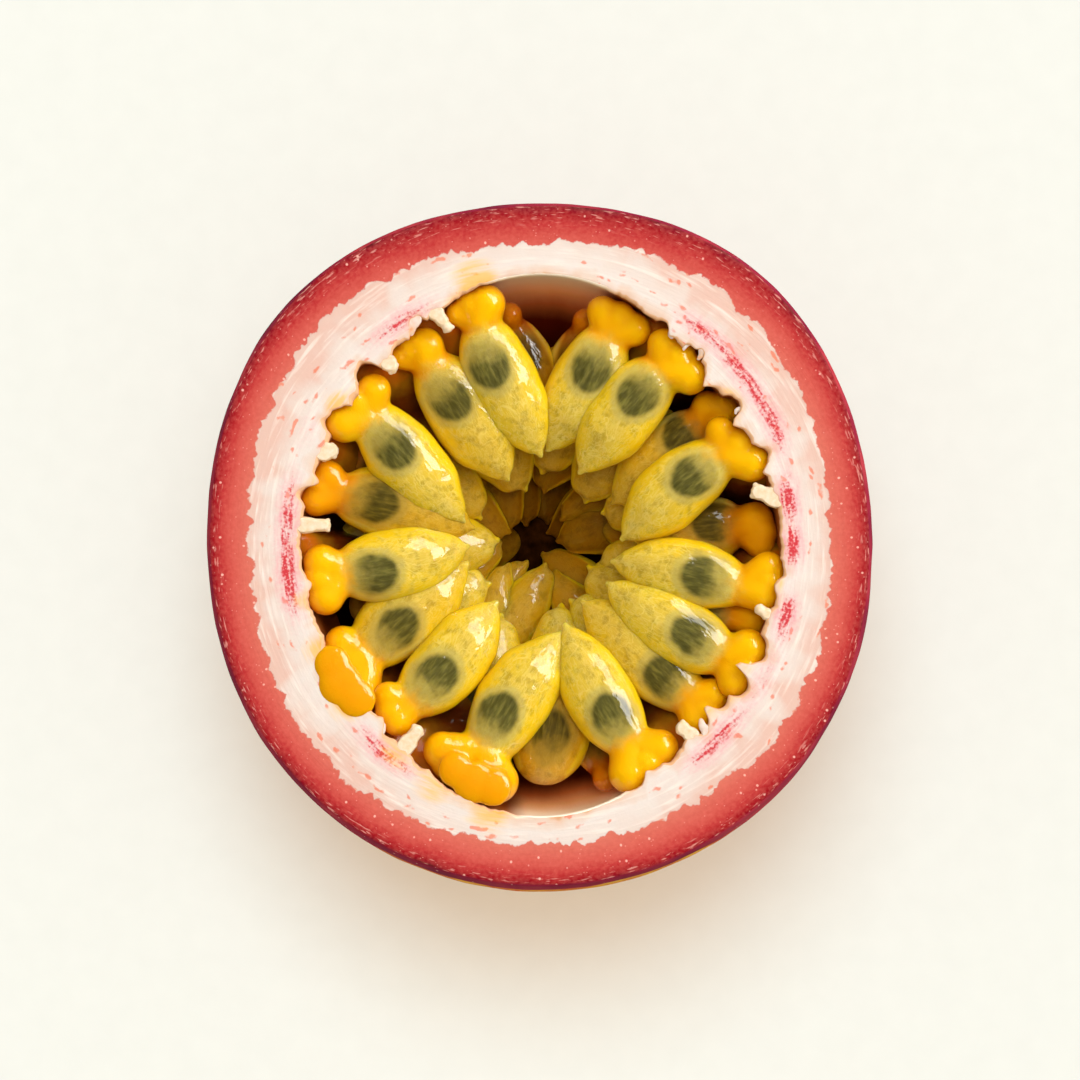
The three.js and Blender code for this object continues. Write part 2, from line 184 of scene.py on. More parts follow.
# %% Ragged edges
COLUMNS = 900  # facets round the shell, a little over 0.2 mm each
TABLE = np.linspace(0, FULL_TURN, 2 * COLUMNS, endpoint=False)
TRUE_SIZE = 28  # mm from the axis: there the patterns round the fruit have their real size
LIP_SIZE = 24  # mm: the hollow's radius, near enough to turn an angle into mm along the lip
SMOOTH_ARCS = [(88, 12), (277, 11)]  # degrees to the middle, half width
LOBE_SWELL = 1.08  # lobes stand a little fuller than their table says
LOBE_PRESS = 0.35  # mm: how far a lobe presses into the lip that gives way to it
SCALLOP_MOST = 1.9  # mm: the lip gives way no further than this
SCALLOP_DEPTHS = (9, 5)  # mm: where the lip no longer gives way, and above which it fully does
POCKETS = [  # dark pockets beside the broken stalks: x, y, radius
    (-11.9, 21.2, 1.7), (-17.2, 17.0, 1.5), (-14.8, -18.4, 1.2), (-12.0, -20.6, 1.2), (12.2, 21.2, 1.6),
    (15.2, 19.2, 1.4),
]
FRINGE = [  # torn threads on the lip, each as x, y and how far it stands in
    (13.0, 21.3, 1.3), (15.4, 19.8, 0.9), (17.2, 16.7, 1.5), (19.7, 12.2, 1.3), (16.6, -16.4, 1.1),
    (20.6, -12.7, 1.0), (-15.5, -17.0, 0.8), (-10.8, -21.7, 0.7), (-12.8, 20.6, 0.8), (-22.6, 6.6, 0.9),
    (-22.9, -3.9, 1.0), (23.0, -4.5, 0.7), (10.2, -22.0, 0.8), (22.8, 7.6, 0.6), (-19.5, 13.4, 0.6),
]
FRINGE_HALF_WIDTH = 0.7  # mm
TORN_FADE = 1.6  # mm below the cut where the lip is no longer torn
TEETH_FADE = 3.5  # mm below the cut where the seam no longer has teeth


def round_noise(angle, size, seed):
    """Noise round the fruit, whose features have a size in mm."""
    point = Vector((math.cos(angle), math.sin(angle), 0)) * TRUE_SIZE / size
    return noise.noise(point + Vector((0, 0, 7.3 * seed)))


def between_angles(angle, other):
    """The turn from one angle to another, from minus half a turn to half a turn."""
    return (angle - other + math.pi) % FULL_TURN - math.pi


def seam_rule(angle):
    """How far the seam stands out from its rim: round scallops, small spikes and a slow wander."""
    scallops = 1 - 2.4 * abs(round_noise(angle, 2.3, 1))
    spikes = 1 - 2.4 * abs(round_noise(angle, 0.9, 2))
    return 0.42 * (scallops - 0.55) + 0.34 * (spikes - 0.55) + 0.35 * round_noise(angle, 5, 3)


def torn_rule(angle):
    """How far the torn lip stands out from its rim. It is less than 0 at the threads of the fringe."""
    degrees = math.degrees(angle)
    calm = max(1 - float(smooth(half - 3, half + 3, abs(degrees - middle))) for middle, half in SMOOTH_ARCS)
    torn = 0.4 * round_noise(angle, 1.6, 4) + 0.3 * round_noise(angle, 0.6, 5) - 0.05
    stand = 0
    for x, y, length in FRINGE:
        aside = LIP_SIZE * between_angles(angle, math.atan2(y, x))
        stand += length * math.exp(-abs(aside / FRINGE_HALF_WIDTH) ** 1.6)
    return torn * (1 - calm) - stand


def scallop_rule(angle):
    """How far the lip gives way round the lobes of the stalks."""
    far = 0
    for x, y, radius in LOBES + POCKETS:
        reach = radius * LOBE_SWELL - LOBE_PRESS
        away = between_angles(angle, math.atan2(y, x))
        out, aside = math.hypot(x, y) * math.cos(away), math.hypot(x, y) * math.sin(away)
        if abs(aside) < reach and out > 0:
            edge = out + math.sqrt(reach**2 - aside**2)
            far = max(far, edge - float(rim(PITH, angle)))
    return min(far, SCALLOP_MOST)


SEAM_TABLE = [seam_rule(angle) for angle in TABLE]
TORN_TABLE = [torn_rule(angle) for angle in TABLE]
SCALLOP_TABLE = [scallop_rule(angle) for angle in TABLE]


def looked_up(angle, table):
    """The value of a table at an angle. A table is worked out once, and then read for every point."""
    return np.interp(angle % FULL_TURN, TABLE, table, period=FULL_TURN)


def fade(depth, reach):
    """1 at the cut, 0 from a depth on."""
    return np.maximum(0, 1 - depth / reach)


def lip_radius(angle, depth):
    """How far the wall of the hollow is from the axis."""
    torn = looked_up(angle, TORN_TABLE) * fade(depth, TORN_FADE) ** 2
    scallops = looked_up(angle, SCALLOP_TABLE) * smooth(*SCALLOP_DEPTHS, depth)
    return rim(PITH, angle) * share(PITH, depth) + torn + scallops


def seam_radius(angle, depth):
    """How far the seam between pith and red flesh is from the axis."""
    teeth = looked_up(angle, SEAM_TABLE) * fade(depth, TEETH_FADE)
    return rim(RED_FLESH, angle) * share(RED_FLESH, depth) + teeth


def skin_radius(angle, depth):
    """How far the skin is from the axis."""
    towards = np.maximum(0, -np.sin(angle)) ** 3
    fullness = np.exp(-(((depth - CHEEK["depth"]) / CHEEK["reach"]) ** 2))
    cheek = CHEEK["height"] * towards * fullness * np.minimum(1, depth / SKIN["widest"])
    return rim(SKIN, angle) * share(SKIN, depth) + cheek


print(f"seam teeth from {min(SEAM_TABLE):.2f} to {max(SEAM_TABLE):.2f} mm")

# %% [markdown]
# ## Turning the shell
#
# Each bowl is spun from one profile about the axis, as on a lathe. A wedge is spun first and then
# repeated, because one spin of hundreds of steps is slow. Then every ring is moved onto the uneven
# outlines: a point keeps its place between the lip, the seam and the skin, and those three move.

# %% Mesh helpers
WEDGES = 15
CREASE = math.radians(50)  # a fold sharper than this keeps its edge when a piece is shaded smooth


def spun(profile):
    """A closed shell spun once round the axis from (radius, depth) points that start and end on it."""
    bm = bmesh.new()
    verts = [bm.verts.new((radius, 0, HEIGHT - depth)) for radius, depth in profile]
    edges = [bm.edges.new(pair) for pair in zip(verts, verts[1:])]
    turn = {"cent": (0, 0, 0), "axis": (0, 0, 1)}
    bmesh.ops.spin(
        bm, geom=verts + edges, angle=FULL_TURN / WEDGES, steps=COLUMNS // WEDGES, use_merge=False, **turn
    )
    wedge = bm.verts[:] + bm.edges[:] + bm.faces[:]
    bmesh.ops.spin(
        bm, geom=wedge, angle=FULL_TURN - FULL_TURN / WEDGES, steps=WEDGES - 1, use_duplicate=True, **turn
    )
    bmesh.ops.remove_doubles(bm, verts=bm.verts, dist=1e-3)
    bmesh.ops.recalc_face_normals(bm, faces=bm.faces)
    mesh = bpy.data.meshes.new("shell")
    bm.to_mesh(mesh)
    bm.free()
    return mesh


def places(mesh):
    """The x, y and z of a mesh's points, in the mesh's own units."""
    flat = np.empty(len(mesh.vertices) * 3)
    mesh.vertices.foreach_get("co", flat)
    return flat.reshape(-1, 3)


def move(mesh, xyz):
    """Puts a mesh's points at new places."""
    mesh.vertices.foreach_set("co", xyz.ravel())
    mesh.update()


def polar(xyz):
    """Radius, angle and depth below the cut of points round the fruit's axis."""
    return np.hypot(xyz[:, 0], xyz[:, 1]), np.arctan2(xyz[:, 1], xyz[:, 0]), HEIGHT - xyz[:, 2]


def note(mesh, name, values):
    """Keeps a number or a vector on each point, for the materials to read."""
    values = np.asarray(values, dtype=np.float32)
    kind, field = ("FLOAT_VECTOR", "vector") if values.ndim == 2 else ("FLOAT", "value")
    mesh.attributes.new(name, kind, "POINT").data.foreach_set(field, values.ravel())


def give_second_material(mesh, rule):
    """Gives the second material to the faces that a rule picks by their middles and normals."""
    middles = np.empty(len(mesh.polygons) * 3)
    normals = np.empty(len(mesh.polygons) * 3)
    mesh.polygons.foreach_get("center", middles)
    mesh.polygons.foreach_get("normal", normals)
    picked = rule(middles.reshape(-1, 3), normals.reshape(-1, 3))
    mesh.polygons.foreach_set("material_index", picked.astype(np.int32))


def shown(name, mesh, nodes, materials):
    """Puts a mesh made in mm round the axis into the frame, in place of the nodes it stands for."""
    mesh.name = name
    mesh.transform(Matrix.Scale(MM, 4) @ Matrix.Translation(AXIS))
    mesh.shade_smooth()
    mesh.set_sharp_from_angle(angle=CREASE)
    for material in materials:
        mesh.materials.append(material)
    piece = bpy.data.objects.new(name, mesh)
    bpy.context.scene.collection.objects.link(piece)
    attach(piece, "root")
    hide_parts(*nodes)
    return piece


print(f"{COLUMNS} facets round the shell, {FULL_TURN * SKIN['rim'] / COLUMNS:.2f} mm each at the skin")

# %% [markdown]
# ## From even to uneven
#
# No fruit is round. The rings could be sculpted by hand, but a rule gives the same fruit each time and
# lets the pith and the red flesh meet exactly, because both shells read the same seam. The skin also
# gets shallow dents, which fade out at the cut and at the flat spot it rests on.

# %% Uneven shells
def uneven(mesh):
    """Moves each ring of a turned shell onto the fruit's own uneven lip, seam and skin."""
    xyz = places(mesh)
    radius, angle, depth = polar(xyz)
    zero = np.zeros_like(radius)
    even = [zero] + [bowl["rim"] * share(bowl, depth) for bowl in (PITH, RED_FLESH, SKIN)]
    real = [zero, lip_radius(angle, depth), seam_radius(angle, depth), skin_radius(angle, depth)]
    moved = radius.copy()
    for inner in range(3):
        width = np.maximum(1e-9, even[inner + 1] - even[inner])
        part = np.clip((radius - even[inner]) / width, 0, 1)
        inside = (radius > even[inner]) & (width > 1e-6)
        moved = np.where(inside, real[inner] + part * (real[inner + 1] - real[inner]), moved)
    xyz[:, 0] = moved * np.cos(angle)
    xyz[:, 1] = moved * np.sin(angle)
    move(mesh, xyz)


DENTS = [(0.12, 6.5), (0.05, 2.6)]  # shallow dents of the skin: height and size in mm
DENTED_FROM = (-1.5, 0)  # mm from the skin, where dents begin and are whole
DENTED_DOWN = ((0, 3), (35, 33))  # mm below the cut: they begin and are whole, and end the same way


def dented(mesh):
    """Presses shallow dents into the skin, which fade out at the cut and at the flat spot."""
    xyz = places(mesh)
    radius, angle, depth = polar(xyz)
    begin, end = DENTED_DOWN
    weight = smooth(*DENTED_FROM, radius - skin_radius(angle, depth))
    weight = weight * smooth(*begin, depth) * smooth(*end, depth)
    for at in np.flatnonzero(weight > 0):
        point = Vector(xyz[at])
        press = sum(height * noise.noise(point / size) for height, size in DENTS)
        xyz[at, :2] *= 1 + weight[at] * press / radius[at]
    move(mesh, xyz)


print(f"dents up to {sum(height for height, _ in DENTS):.2f} mm, none at the cut or the flat spot")

# %% [markdown]
# ## Where the colours lie
#
# A cut fruit's colours follow its anatomy: crimson under the skin, coral to the seam, cream pith with red
# veins on one circle, and yellow where juice soaked in. Each point of a shell keeps its distance from
# those places, in mm. A picture wrapped round the shell would blur close up, and these don't.

# %% Places that colour follows
VEIN_RING = [  # the circle of red veins: degrees, radius
    (2, 25.2), (12, 25.2), (20, 25.9), (27, 26.3), (40, 26.5), (51, 26.9), (60, 26.9), (122, 26.4),
    (153, 26.0), (174, 25.4), (185, 25.4), (226, 25.8), (232, 26.0), (308, 26.6), (315, 26.2), (330, 26.0),
    (345, 25.5),
]
BLUSHES = [  # red veins of the pith near the lip: degrees to the middle, half width, strength
    (122, 9, 0.8), (153, 5, 0.3), (172, 9, 0.8), (188, 9, 1.1), (233, 9, 0.9), (54, 6, 0.7),
    (41, 8, 1.0), (27, 7, 0.9), (11, 5, 1.15), (0, 5, 1.15), (-16, 5, 1.15), (-30, 7, 0.5), (-48, 9, 1.0),
]
STAINS = [  # juice that ran onto the pith: x, y, reach, strength
    (-6.5, 26.6, 2.6, 0.9), (-5.0, -26.3, 2.6, 1.0), (-10.5, -24.0, 2.4, 0.8), (-14.5, -20.8, 2.0, 0.7),
    (-19.5, -16.0, 2.0, 0.9), (-22.6, -10.5, 1.6, 0.8), (-20.6, 14.6, 1.6, 0.6), (4.5, -26.0, 1.6, 0.4),
    (-24.2, -5.5, 1.2, 0.5), (19.0, 14.6, 1.2, 0.4),
]


def mark_shell(mesh):
    """Writes down for each point of a shell where it is in the fruit."""
    xyz = places(mesh)
    radius, angle, depth = polar(xyz)
    note(mesh, "from_seam", radius - seam_radius(angle, depth))
    spread = 1 - 0.4 * smooth(0.3, 1, np.sin(angle))  # the crimson is broader at the top
    note(mesh, "from_skin", (skin_radius(angle, depth) - radius) * spread)
    note(mesh, "from_lip", radius - lip_radius(angle, np.zeros_like(depth)))
    vein = np.interp(np.degrees(angle) % 360, *zip(*VEIN_RING), period=360)
    note(mesh, "from_vein", radius - vein)
    note(mesh, "below_cut", depth)
    rounds = [TRUE_SIZE * np.cos(angle), TRUE_SIZE * np.sin(angle), radius]
    note(mesh, "round_and_out", np.stack(rounds, axis=1))
    blush = sum(
        strength * np.exp(-((np.degrees(between_angles(angle, math.radians(middle))) / half) ** 2))
        for middle, half, strength in BLUSHES
    )
    note(mesh, "blush", blush)
    stain = sum(
        strength * np.exp(-((xyz[:, 0] - x) ** 2 + (xyz[:, 1] - y) ** 2) / reach**2)
        for x, y, reach, strength in STAINS
    )
    for x, y, size in LOBES:  # each wet lobe leaves a faint ring of juice
        beyond = np.hypot(xyz[:, 0] - x, xyz[:, 1] - y) - size
        stain = stain + 0.3 * smooth(1.2, 0.1, beyond)
    note(mesh, "stain", np.minimum(1, stain))
    calm = sum(
        smooth(half + 4, half - 2, np.abs(np.degrees(between_angles(angle, math.radians(middle)))))
        for middle, half in SMOOTH_ARCS
    )
    note(mesh, "calm", calm)
    note(mesh, "cheek", np.maximum(0, -np.sin(angle)) ** 3 * smooth(0.5, 3.4, depth))


print(f"{len(BLUSHES)} stretches of red veins, {len(STAINS)} stains of juice")

# %% [markdown]
# ## Painting with nodes
#
# One function adds a node with its settings and links. Colours are written as the hex values that a
# painter reads off a screen, and one function turns them into the linear light that Blender mixes.

# %% Material helpers
def linear(code):
    """Linear RGBA from an sRGB hex colour such as #dd6157."""
    channels = [int(code[at:at + 2], 16) / 255 for at in (1, 3, 5)]
    return [c / 12.92 if c <= 0.04045 else ((c + 0.055) / 1.055) ** 2.4 for c in channels] + [1]


def add(tree, kind, feeds=None, stops=None, **settings):
    """Adds a node: its settings, what feeds each socket, and the stops of a colour ramp."""
    node = tree.nodes.new(kind)
    for name, value in settings.items():
        setattr(node, name, value)
    for socket, value in (feeds or {}).items():
        if isinstance(value, bpy.types.NodeSocket):
            tree.links.new(value, node.inputs[socket])
        else:
            node.inputs[socket].default_value = value
    for at, (position, code) in enumerate(stops or []):
        elements = node.color_ramp.elements
        stop = elements[at] if at < 2 else elements.new(position)
        stop.position = position
        stop.color = linear(code)
    return node


def material(name, paint, **sockets):
    """A Principled material: paint gives its colour and bump, and the rest is set on its own sockets."""
    made = bpy.data.materials.new(name)
    made.use_nodes = True
    tree = made.node_tree
    shader = tree.nodes["Principled BSDF"]
    for socket, value in sockets.items():
        shader.inputs[socket.replace("_", " ")].default_value = value
    for socket, source in paint(tree).items():
        tree.links.new(source, shader.inputs[socket])
    return made


print(f"coral #dd6157 is {[round(channel, 3) for channel in linear('#dd6157')[:3]]} in linear light")

# %% [markdown]
# ## The red flesh
#
# A knife cut leaves a moist, matt face. Light enters it a little way, so edges look soft. The red flesh is
# darkest at the skin and coral at the seam, with pale specks where the knife opened its cells. The colours
# could be laid in rings, but clouds of noise push them in and out, as the flesh ripens unevenly.

# %% Red flesh
def red_flesh_colour(tree, skin, around, grain, cloud):
    """Crimson to coral from the skin inwards, with pale specks and fibres."""
    # Red flesh: a dark line at the skin, then crimson, then coral towards the seam.
    clouded = add(tree, "ShaderNodeMath", {0: cloud, 1: 0.8, 2: -0.4}, operation="MULTIPLY_ADD").outputs[0]
    inwards = add(tree, "ShaderNodeMath", {0: skin, 1: clouded}, operation="ADD").outputs[0]
    layer = add(tree, "ShaderNodeMapRange", {0: inwards, 1: 0, 2: 4.5}).outputs[0]
    red = add(
        tree, "ShaderNodeValToRGB", {0: layer},
        [(0.0, "#5a0a14"), (1.0, "#cc6c5a"), (0.04, "#82031a"), (0.12, "#960414"), (0.28, "#b02a2a"),
         (0.5, "#c24e44")],
    ).outputs[0]
    grainy = add(tree, "ShaderNodeMapRange", {0: grain, 1: 0.35, 2: 0.75, 3: 0.0, 4: 0.2}).outputs[0]
    red = add(
        tree, "ShaderNodeMix", {0: grainy, 6: red, 7: linear("#e87c6c")}, data_type="RGBA"
    ).outputs[2]
    for cell, radius, strength in (((1.3, 1.3, 1.0), 0.17, 0.75), ((2.6, 2.6, 2.6), 0.2, 0.3)):
        place = add(
            tree, "ShaderNodeVectorMath", {0: around, 1: cell}, operation="MULTIPLY"
        ).outputs[0]
        cells = add(tree, "ShaderNodeTexVoronoi", {"Vector": place, "Scale": 1.0})
        chosen = add(
            tree, "ShaderNodeMath", {0: cells.outputs["Color"], 1: 0.62}, operation="GREATER_THAN"
        ).outputs[0]
        speck = add(
            tree, "ShaderNodeMapRange",
            {0: cells.outputs["Distance"], 1: radius, 2: radius / 2, 3: 0.0, 4: strength},
        ).outputs[0]
        pale = add(tree, "ShaderNodeMath", {0: speck, 1: chosen}, operation="MULTIPLY").outputs[0]
        red = add(
            tree, "ShaderNodeMix", {0: pale, 6: red, 7: linear("#f4bdae")}, data_type="RGBA"
        ).outputs[2]

    # Just inside the skin, pale fibres run along the rim.
    dash_place = add(
        tree, "ShaderNodeVectorMath", {0: around, 1: (0.9, 0.9, 5.0)}, operation="MULTIPLY"
    ).outputs[0]
    dash = add(tree, "ShaderNodeTexNoise", {"Vector": dash_place, "Scale": 1.0, "Detail": 2}).outputs[0]
    dash = add(tree, "ShaderNodeMapRange", {0: dash, 1: 0.6, 2: 0.68, 3: 0.0, 4: 0.5}).outputs[0]
    by_skin = add(tree, "ShaderNodeMapRange", {0: skin, 1: 1.5, 2: 0.6}).outputs[0]
    dash = add(tree, "ShaderNodeMath", {0: dash, 1: by_skin}, operation="MULTIPLY").outputs[0]
    red = add(
        tree, "ShaderNodeMix", {0: dash, 6: red, 7: linear("#eba99c")}, data_type="RGBA"
    ).outputs[2]
    return red

# %% [markdown]
# ## The pith
#
# The pith is spongy and creamy. Threads run round it, and short rusty flecks lie in it in all directions.
# The vessels that feed the arils run on one circle near the lip. They show as crimson brush strokes, and
# they stain the pith round them pink. Juice soaks along the same threads in yellow.

# %% Pith
def pith_colour(tree, lip, vein, blush, stain, around, grain, cloud):
    """Cream with threads, flecks, red veins and stains of juice, and the height of its threads."""
    # Pith: cream, a little pinker by the seam and tanned by the lip, with pale threads along the rim.
    across = add(tree, "ShaderNodeMapRange", {0: lip, 1: -0.2, 2: 5.0}).outputs[0]
    soft = add(tree, "ShaderNodeMath", {0: cloud, 1: 0.5, 2: -0.25}, operation="MULTIPLY_ADD").outputs[0]
    zone = add(tree, "ShaderNodeMath", {0: across, 1: soft}, operation="ADD").outputs[0]
    white = add(
        tree, "ShaderNodeValToRGB", {0: zone},
        [(0.0, "#d09c74"), (1.0, "#d6b2a4"), (0.06, "#d8b8a2"), (0.3, "#dacec6"), (0.7, "#d8c6bc")],
    ).outputs[0]
    fibre_place = add(
        tree, "ShaderNodeVectorMath", {0: around, 1: (0.25, 0.25, 2.6)}, operation="MULTIPLY"
    ).outputs[0]
    fibre = add(tree, "ShaderNodeTexNoise", {"Vector": fibre_place, "Scale": 1.0, "Detail": 3}).outputs[0]
    thread = add(tree, "ShaderNodeMapRange", {0: fibre, 1: 0.52, 2: 0.72, 3: 0.0, 4: 0.7}).outputs[0]
    white = add(
        tree, "ShaderNodeMix", {0: thread, 6: white, 7: linear("#e8dcd2")}, data_type="RGBA"
    ).outputs[2]

    # Rusty flecks: bent strokes up to 2 mm long and 0.3 mm wide, in all directions.
    bent = add(
        tree, "ShaderNodeTexNoise", {"Vector": around, "Scale": 1 / 2.2, "Detail": 2}
    ).outputs["Color"]
    fleck_place = add(
        tree, "ShaderNodeVectorMath", {0: around, 1: (0.4, 0.4, 1.1)}, operation="MULTIPLY"
    ).outputs[0]
    fleck_place = add(
        tree, "ShaderNodeVectorMath", {0: bent, 1: (1.6, 1.6, 1.9), 2: fleck_place},
        operation="MULTIPLY_ADD",
    ).outputs[0]
    flecks = add(tree, "ShaderNodeTexVoronoi", {"Vector": fleck_place, "Scale": 1.0})
    fleck_chosen = add(
        tree, "ShaderNodeMath", {0: flecks.outputs["Color"], 1: 0.42}, operation="GREATER_THAN"
    ).outputs[0]
    ragged_fleck = add(
        tree, "ShaderNodeMath", {0: grain, 1: 0.3, 2: flecks.outputs["Distance"]}, operation="MULTIPLY_ADD"
    ).outputs[0]
    fleck = add(
        tree, "ShaderNodeMapRange", {0: ragged_fleck, 1: 0.42, 2: 0.3, 3: 0.0, 4: 0.7}
    ).outputs[0]
    rusty = add(tree, "ShaderNodeMath", {0: fleck, 1: fleck_chosen}, operation="MULTIPLY").outputs[0]
    white = add(
        tree, "ShaderNodeMix", {0: rusty, 6: white, 7: linear("#dd6a42")}, data_type="RGBA"
    ).outputs[2]

    # Red veins: a band of crimson brush strokes on one circle, dotted along its strokes.
    squared = add(tree, "ShaderNodeMath", {0: vein, 1: vein}, operation="MULTIPLY").outputs[0]
    falloff = add(tree, "ShaderNodeMath", {0: 1.0, 1: squared}, operation="SUBTRACT").outputs[0]
    band = add(tree, "ShaderNodeMath", {0: falloff, 1: blush}, operation="MULTIPLY").outputs[0]
    stroke_place = add(
        tree, "ShaderNodeVectorMath", {0: around, 1: (0.55, 0.55, 3.4)}, operation="MULTIPLY"
    ).outputs[0]
    stroke = add(tree, "ShaderNodeTexNoise", {"Vector": stroke_place, "Scale": 1.0, "Detail": 3}).outputs[0]
    dot = add(tree, "ShaderNodeTexNoise", {"Vector": around, "Scale": 1 / 0.28, "Detail": 1}).outputs[0]
    dotted = add(tree, "ShaderNodeMath", {0: stroke, 1: dot}, operation="MULTIPLY").outputs[0]
    dotted = add(tree, "ShaderNodeMath", {0: dotted, 1: band}, operation="MULTIPLY").outputs[0]
    aside = add(tree, "ShaderNodeMath", {0: vein}, operation="ABSOLUTE").outputs[0]
    near = add(
        tree, "ShaderNodeMapRange", {0: aside, 1: 2.1, 2: 0.2, 3: 0.0, 4: 0.9},
        interpolation_type="SMOOTHSTEP",
    ).outputs[0]
    near = add(tree, "ShaderNodeMath", {0: near, 1: blush}, operation="MULTIPLY").outputs[0]
    pinkish = add(tree, "ShaderNodeMath", {0: near, 1: stroke}, operation="MULTIPLY").outputs[0]
    pinkish = add(tree, "ShaderNodeMath", {0: pinkish, 1: grain}, operation="MULTIPLY").outputs[0]
    pinkish = add(
        tree, "ShaderNodeMapRange", {0: pinkish, 1: 0.03, 2: 0.28, 3: 0.0, 4: 0.6}
    ).outputs[0]
    white = add(
        tree, "ShaderNodeMix", {0: pinkish, 6: white, 7: linear("#e2788a")}, data_type="RGBA"
    ).outputs[2]
    veined = add(
        tree, "ShaderNodeMapRange", {0: dotted, 1: 0.11, 2: 0.3, 3: 0.0, 4: 0.9},
        interpolation_type="SMOOTHSTEP",
    ).outputs[0]
    white = add(
        tree, "ShaderNodeMix", {0: veined, 6: white, 7: linear("#c61626")}, data_type="RGBA"
    ).outputs[2]

    # Juice soaks into the pith in yellow, streaked like the fibres.
    soaked = add(tree, "ShaderNodeMath", {0: stain, 1: fibre}, operation="MULTIPLY").outputs[0]
    soaking = add(
        tree, "ShaderNodeMapRange", {0: soaked, 1: 0.12, 2: 0.5, 3: 0.0, 4: 0.75},
        interpolation_type="SMOOTHSTEP",
    ).outputs[0]
    white = add(
        tree, "ShaderNodeMix", {0: soaking, 6: white, 7: linear("#eeb040")}, data_type="RGBA"
    ).outputs[2]
    return white, fibre

# %% [markdown]
# ## One paint for both
#
# Red and white pieces share one paint rule, so the seam between them is a line of colour and not a crack.
# The same threads and grain lift the surface a few hundredths of a millimetre.

# %% Cut flesh
def cut_face_paint(tree):
    """Red flesh outside the seam and pith inside it."""
    seam, skin, lip, vein, blush, stain = (
        add(tree, "ShaderNodeAttribute", attribute_name=name).outputs["Fac"]
        for name in ("from_seam", "from_skin", "from_lip", "from_vein", "blush", "stain")
    )
    around = add(tree, "ShaderNodeAttribute", attribute_name="round_and_out").outputs["Vector"]

    # Grain: 0.35 mm cells, and clouds a few millimetres wide.
    grain = add(tree, "ShaderNodeTexNoise", {"Vector": around, "Scale": 1 / 0.35, "Detail": 3}).outputs[0]
    cloud = add(tree, "ShaderNodeTexNoise", {"Vector": around, "Scale": 1 / 2.5, "Detail": 2}).outputs[0]
    ragged = add(
        tree, "ShaderNodeMath", {0: grain, 1: 0.55, 2: -0.28}, operation="MULTIPLY_ADD"
    ).outputs[0]
    feathered = add(tree, "ShaderNodeMath", {0: seam, 1: ragged}, operation="ADD").outputs[0]
    is_red = add(
        tree, "ShaderNodeMapRange", {0: feathered, 1: -0.1, 2: 0.1}, interpolation_type="SMOOTHSTEP"
    ).outputs[0]
    red = red_flesh_colour(tree, skin, around, grain, cloud)
    white, fibre = pith_colour(tree, lip, vein, blush, stain, around, grain, cloud)
    colour = add(tree, "ShaderNodeMix", {0: is_red, 6: white, 7: red}, data_type="RGBA").outputs[2]
    bump = add(
        tree, "ShaderNodeBump", {"Height": fibre, "Distance": 0.1 * MM, "Strength": 0.4}
    ).outputs[0]
    fine = add(
        tree, "ShaderNodeBump", {"Height": grain, "Distance": 0.03 * MM, "Strength": 0.6, "Normal": bump}
    ).outputs[0]
    return {"Base Color": colour, "Normal": fine}


# Moist plant flesh: no clear highlight, but light that bleeds a millimetre under the surface.
cut_flesh = material(
    "moist cut flesh", cut_face_paint, Roughness=0.5, IOR=1.38, Specular_IOR_Level=0.2,
    Subsurface_Weight=0.2, Subsurface_Scale=0.8 * MM, Subsurface_Radius=(1.0, 0.5, 0.35),
)
print(f"cut flesh: {len(cut_flesh.node_tree.nodes)} nodes")

# %% [markdown]
# ## The skin
#
# The skin is thin, waxy and nearly purple where the sun was strong. Under the wax sit pale pores a
# fifth of a millimetre wide. One cheek never saw the sun and stays yellow, blotched with orange. Clouds of
# noise a few millimetres wide give the blotches, so that no edge between the colours is straight.

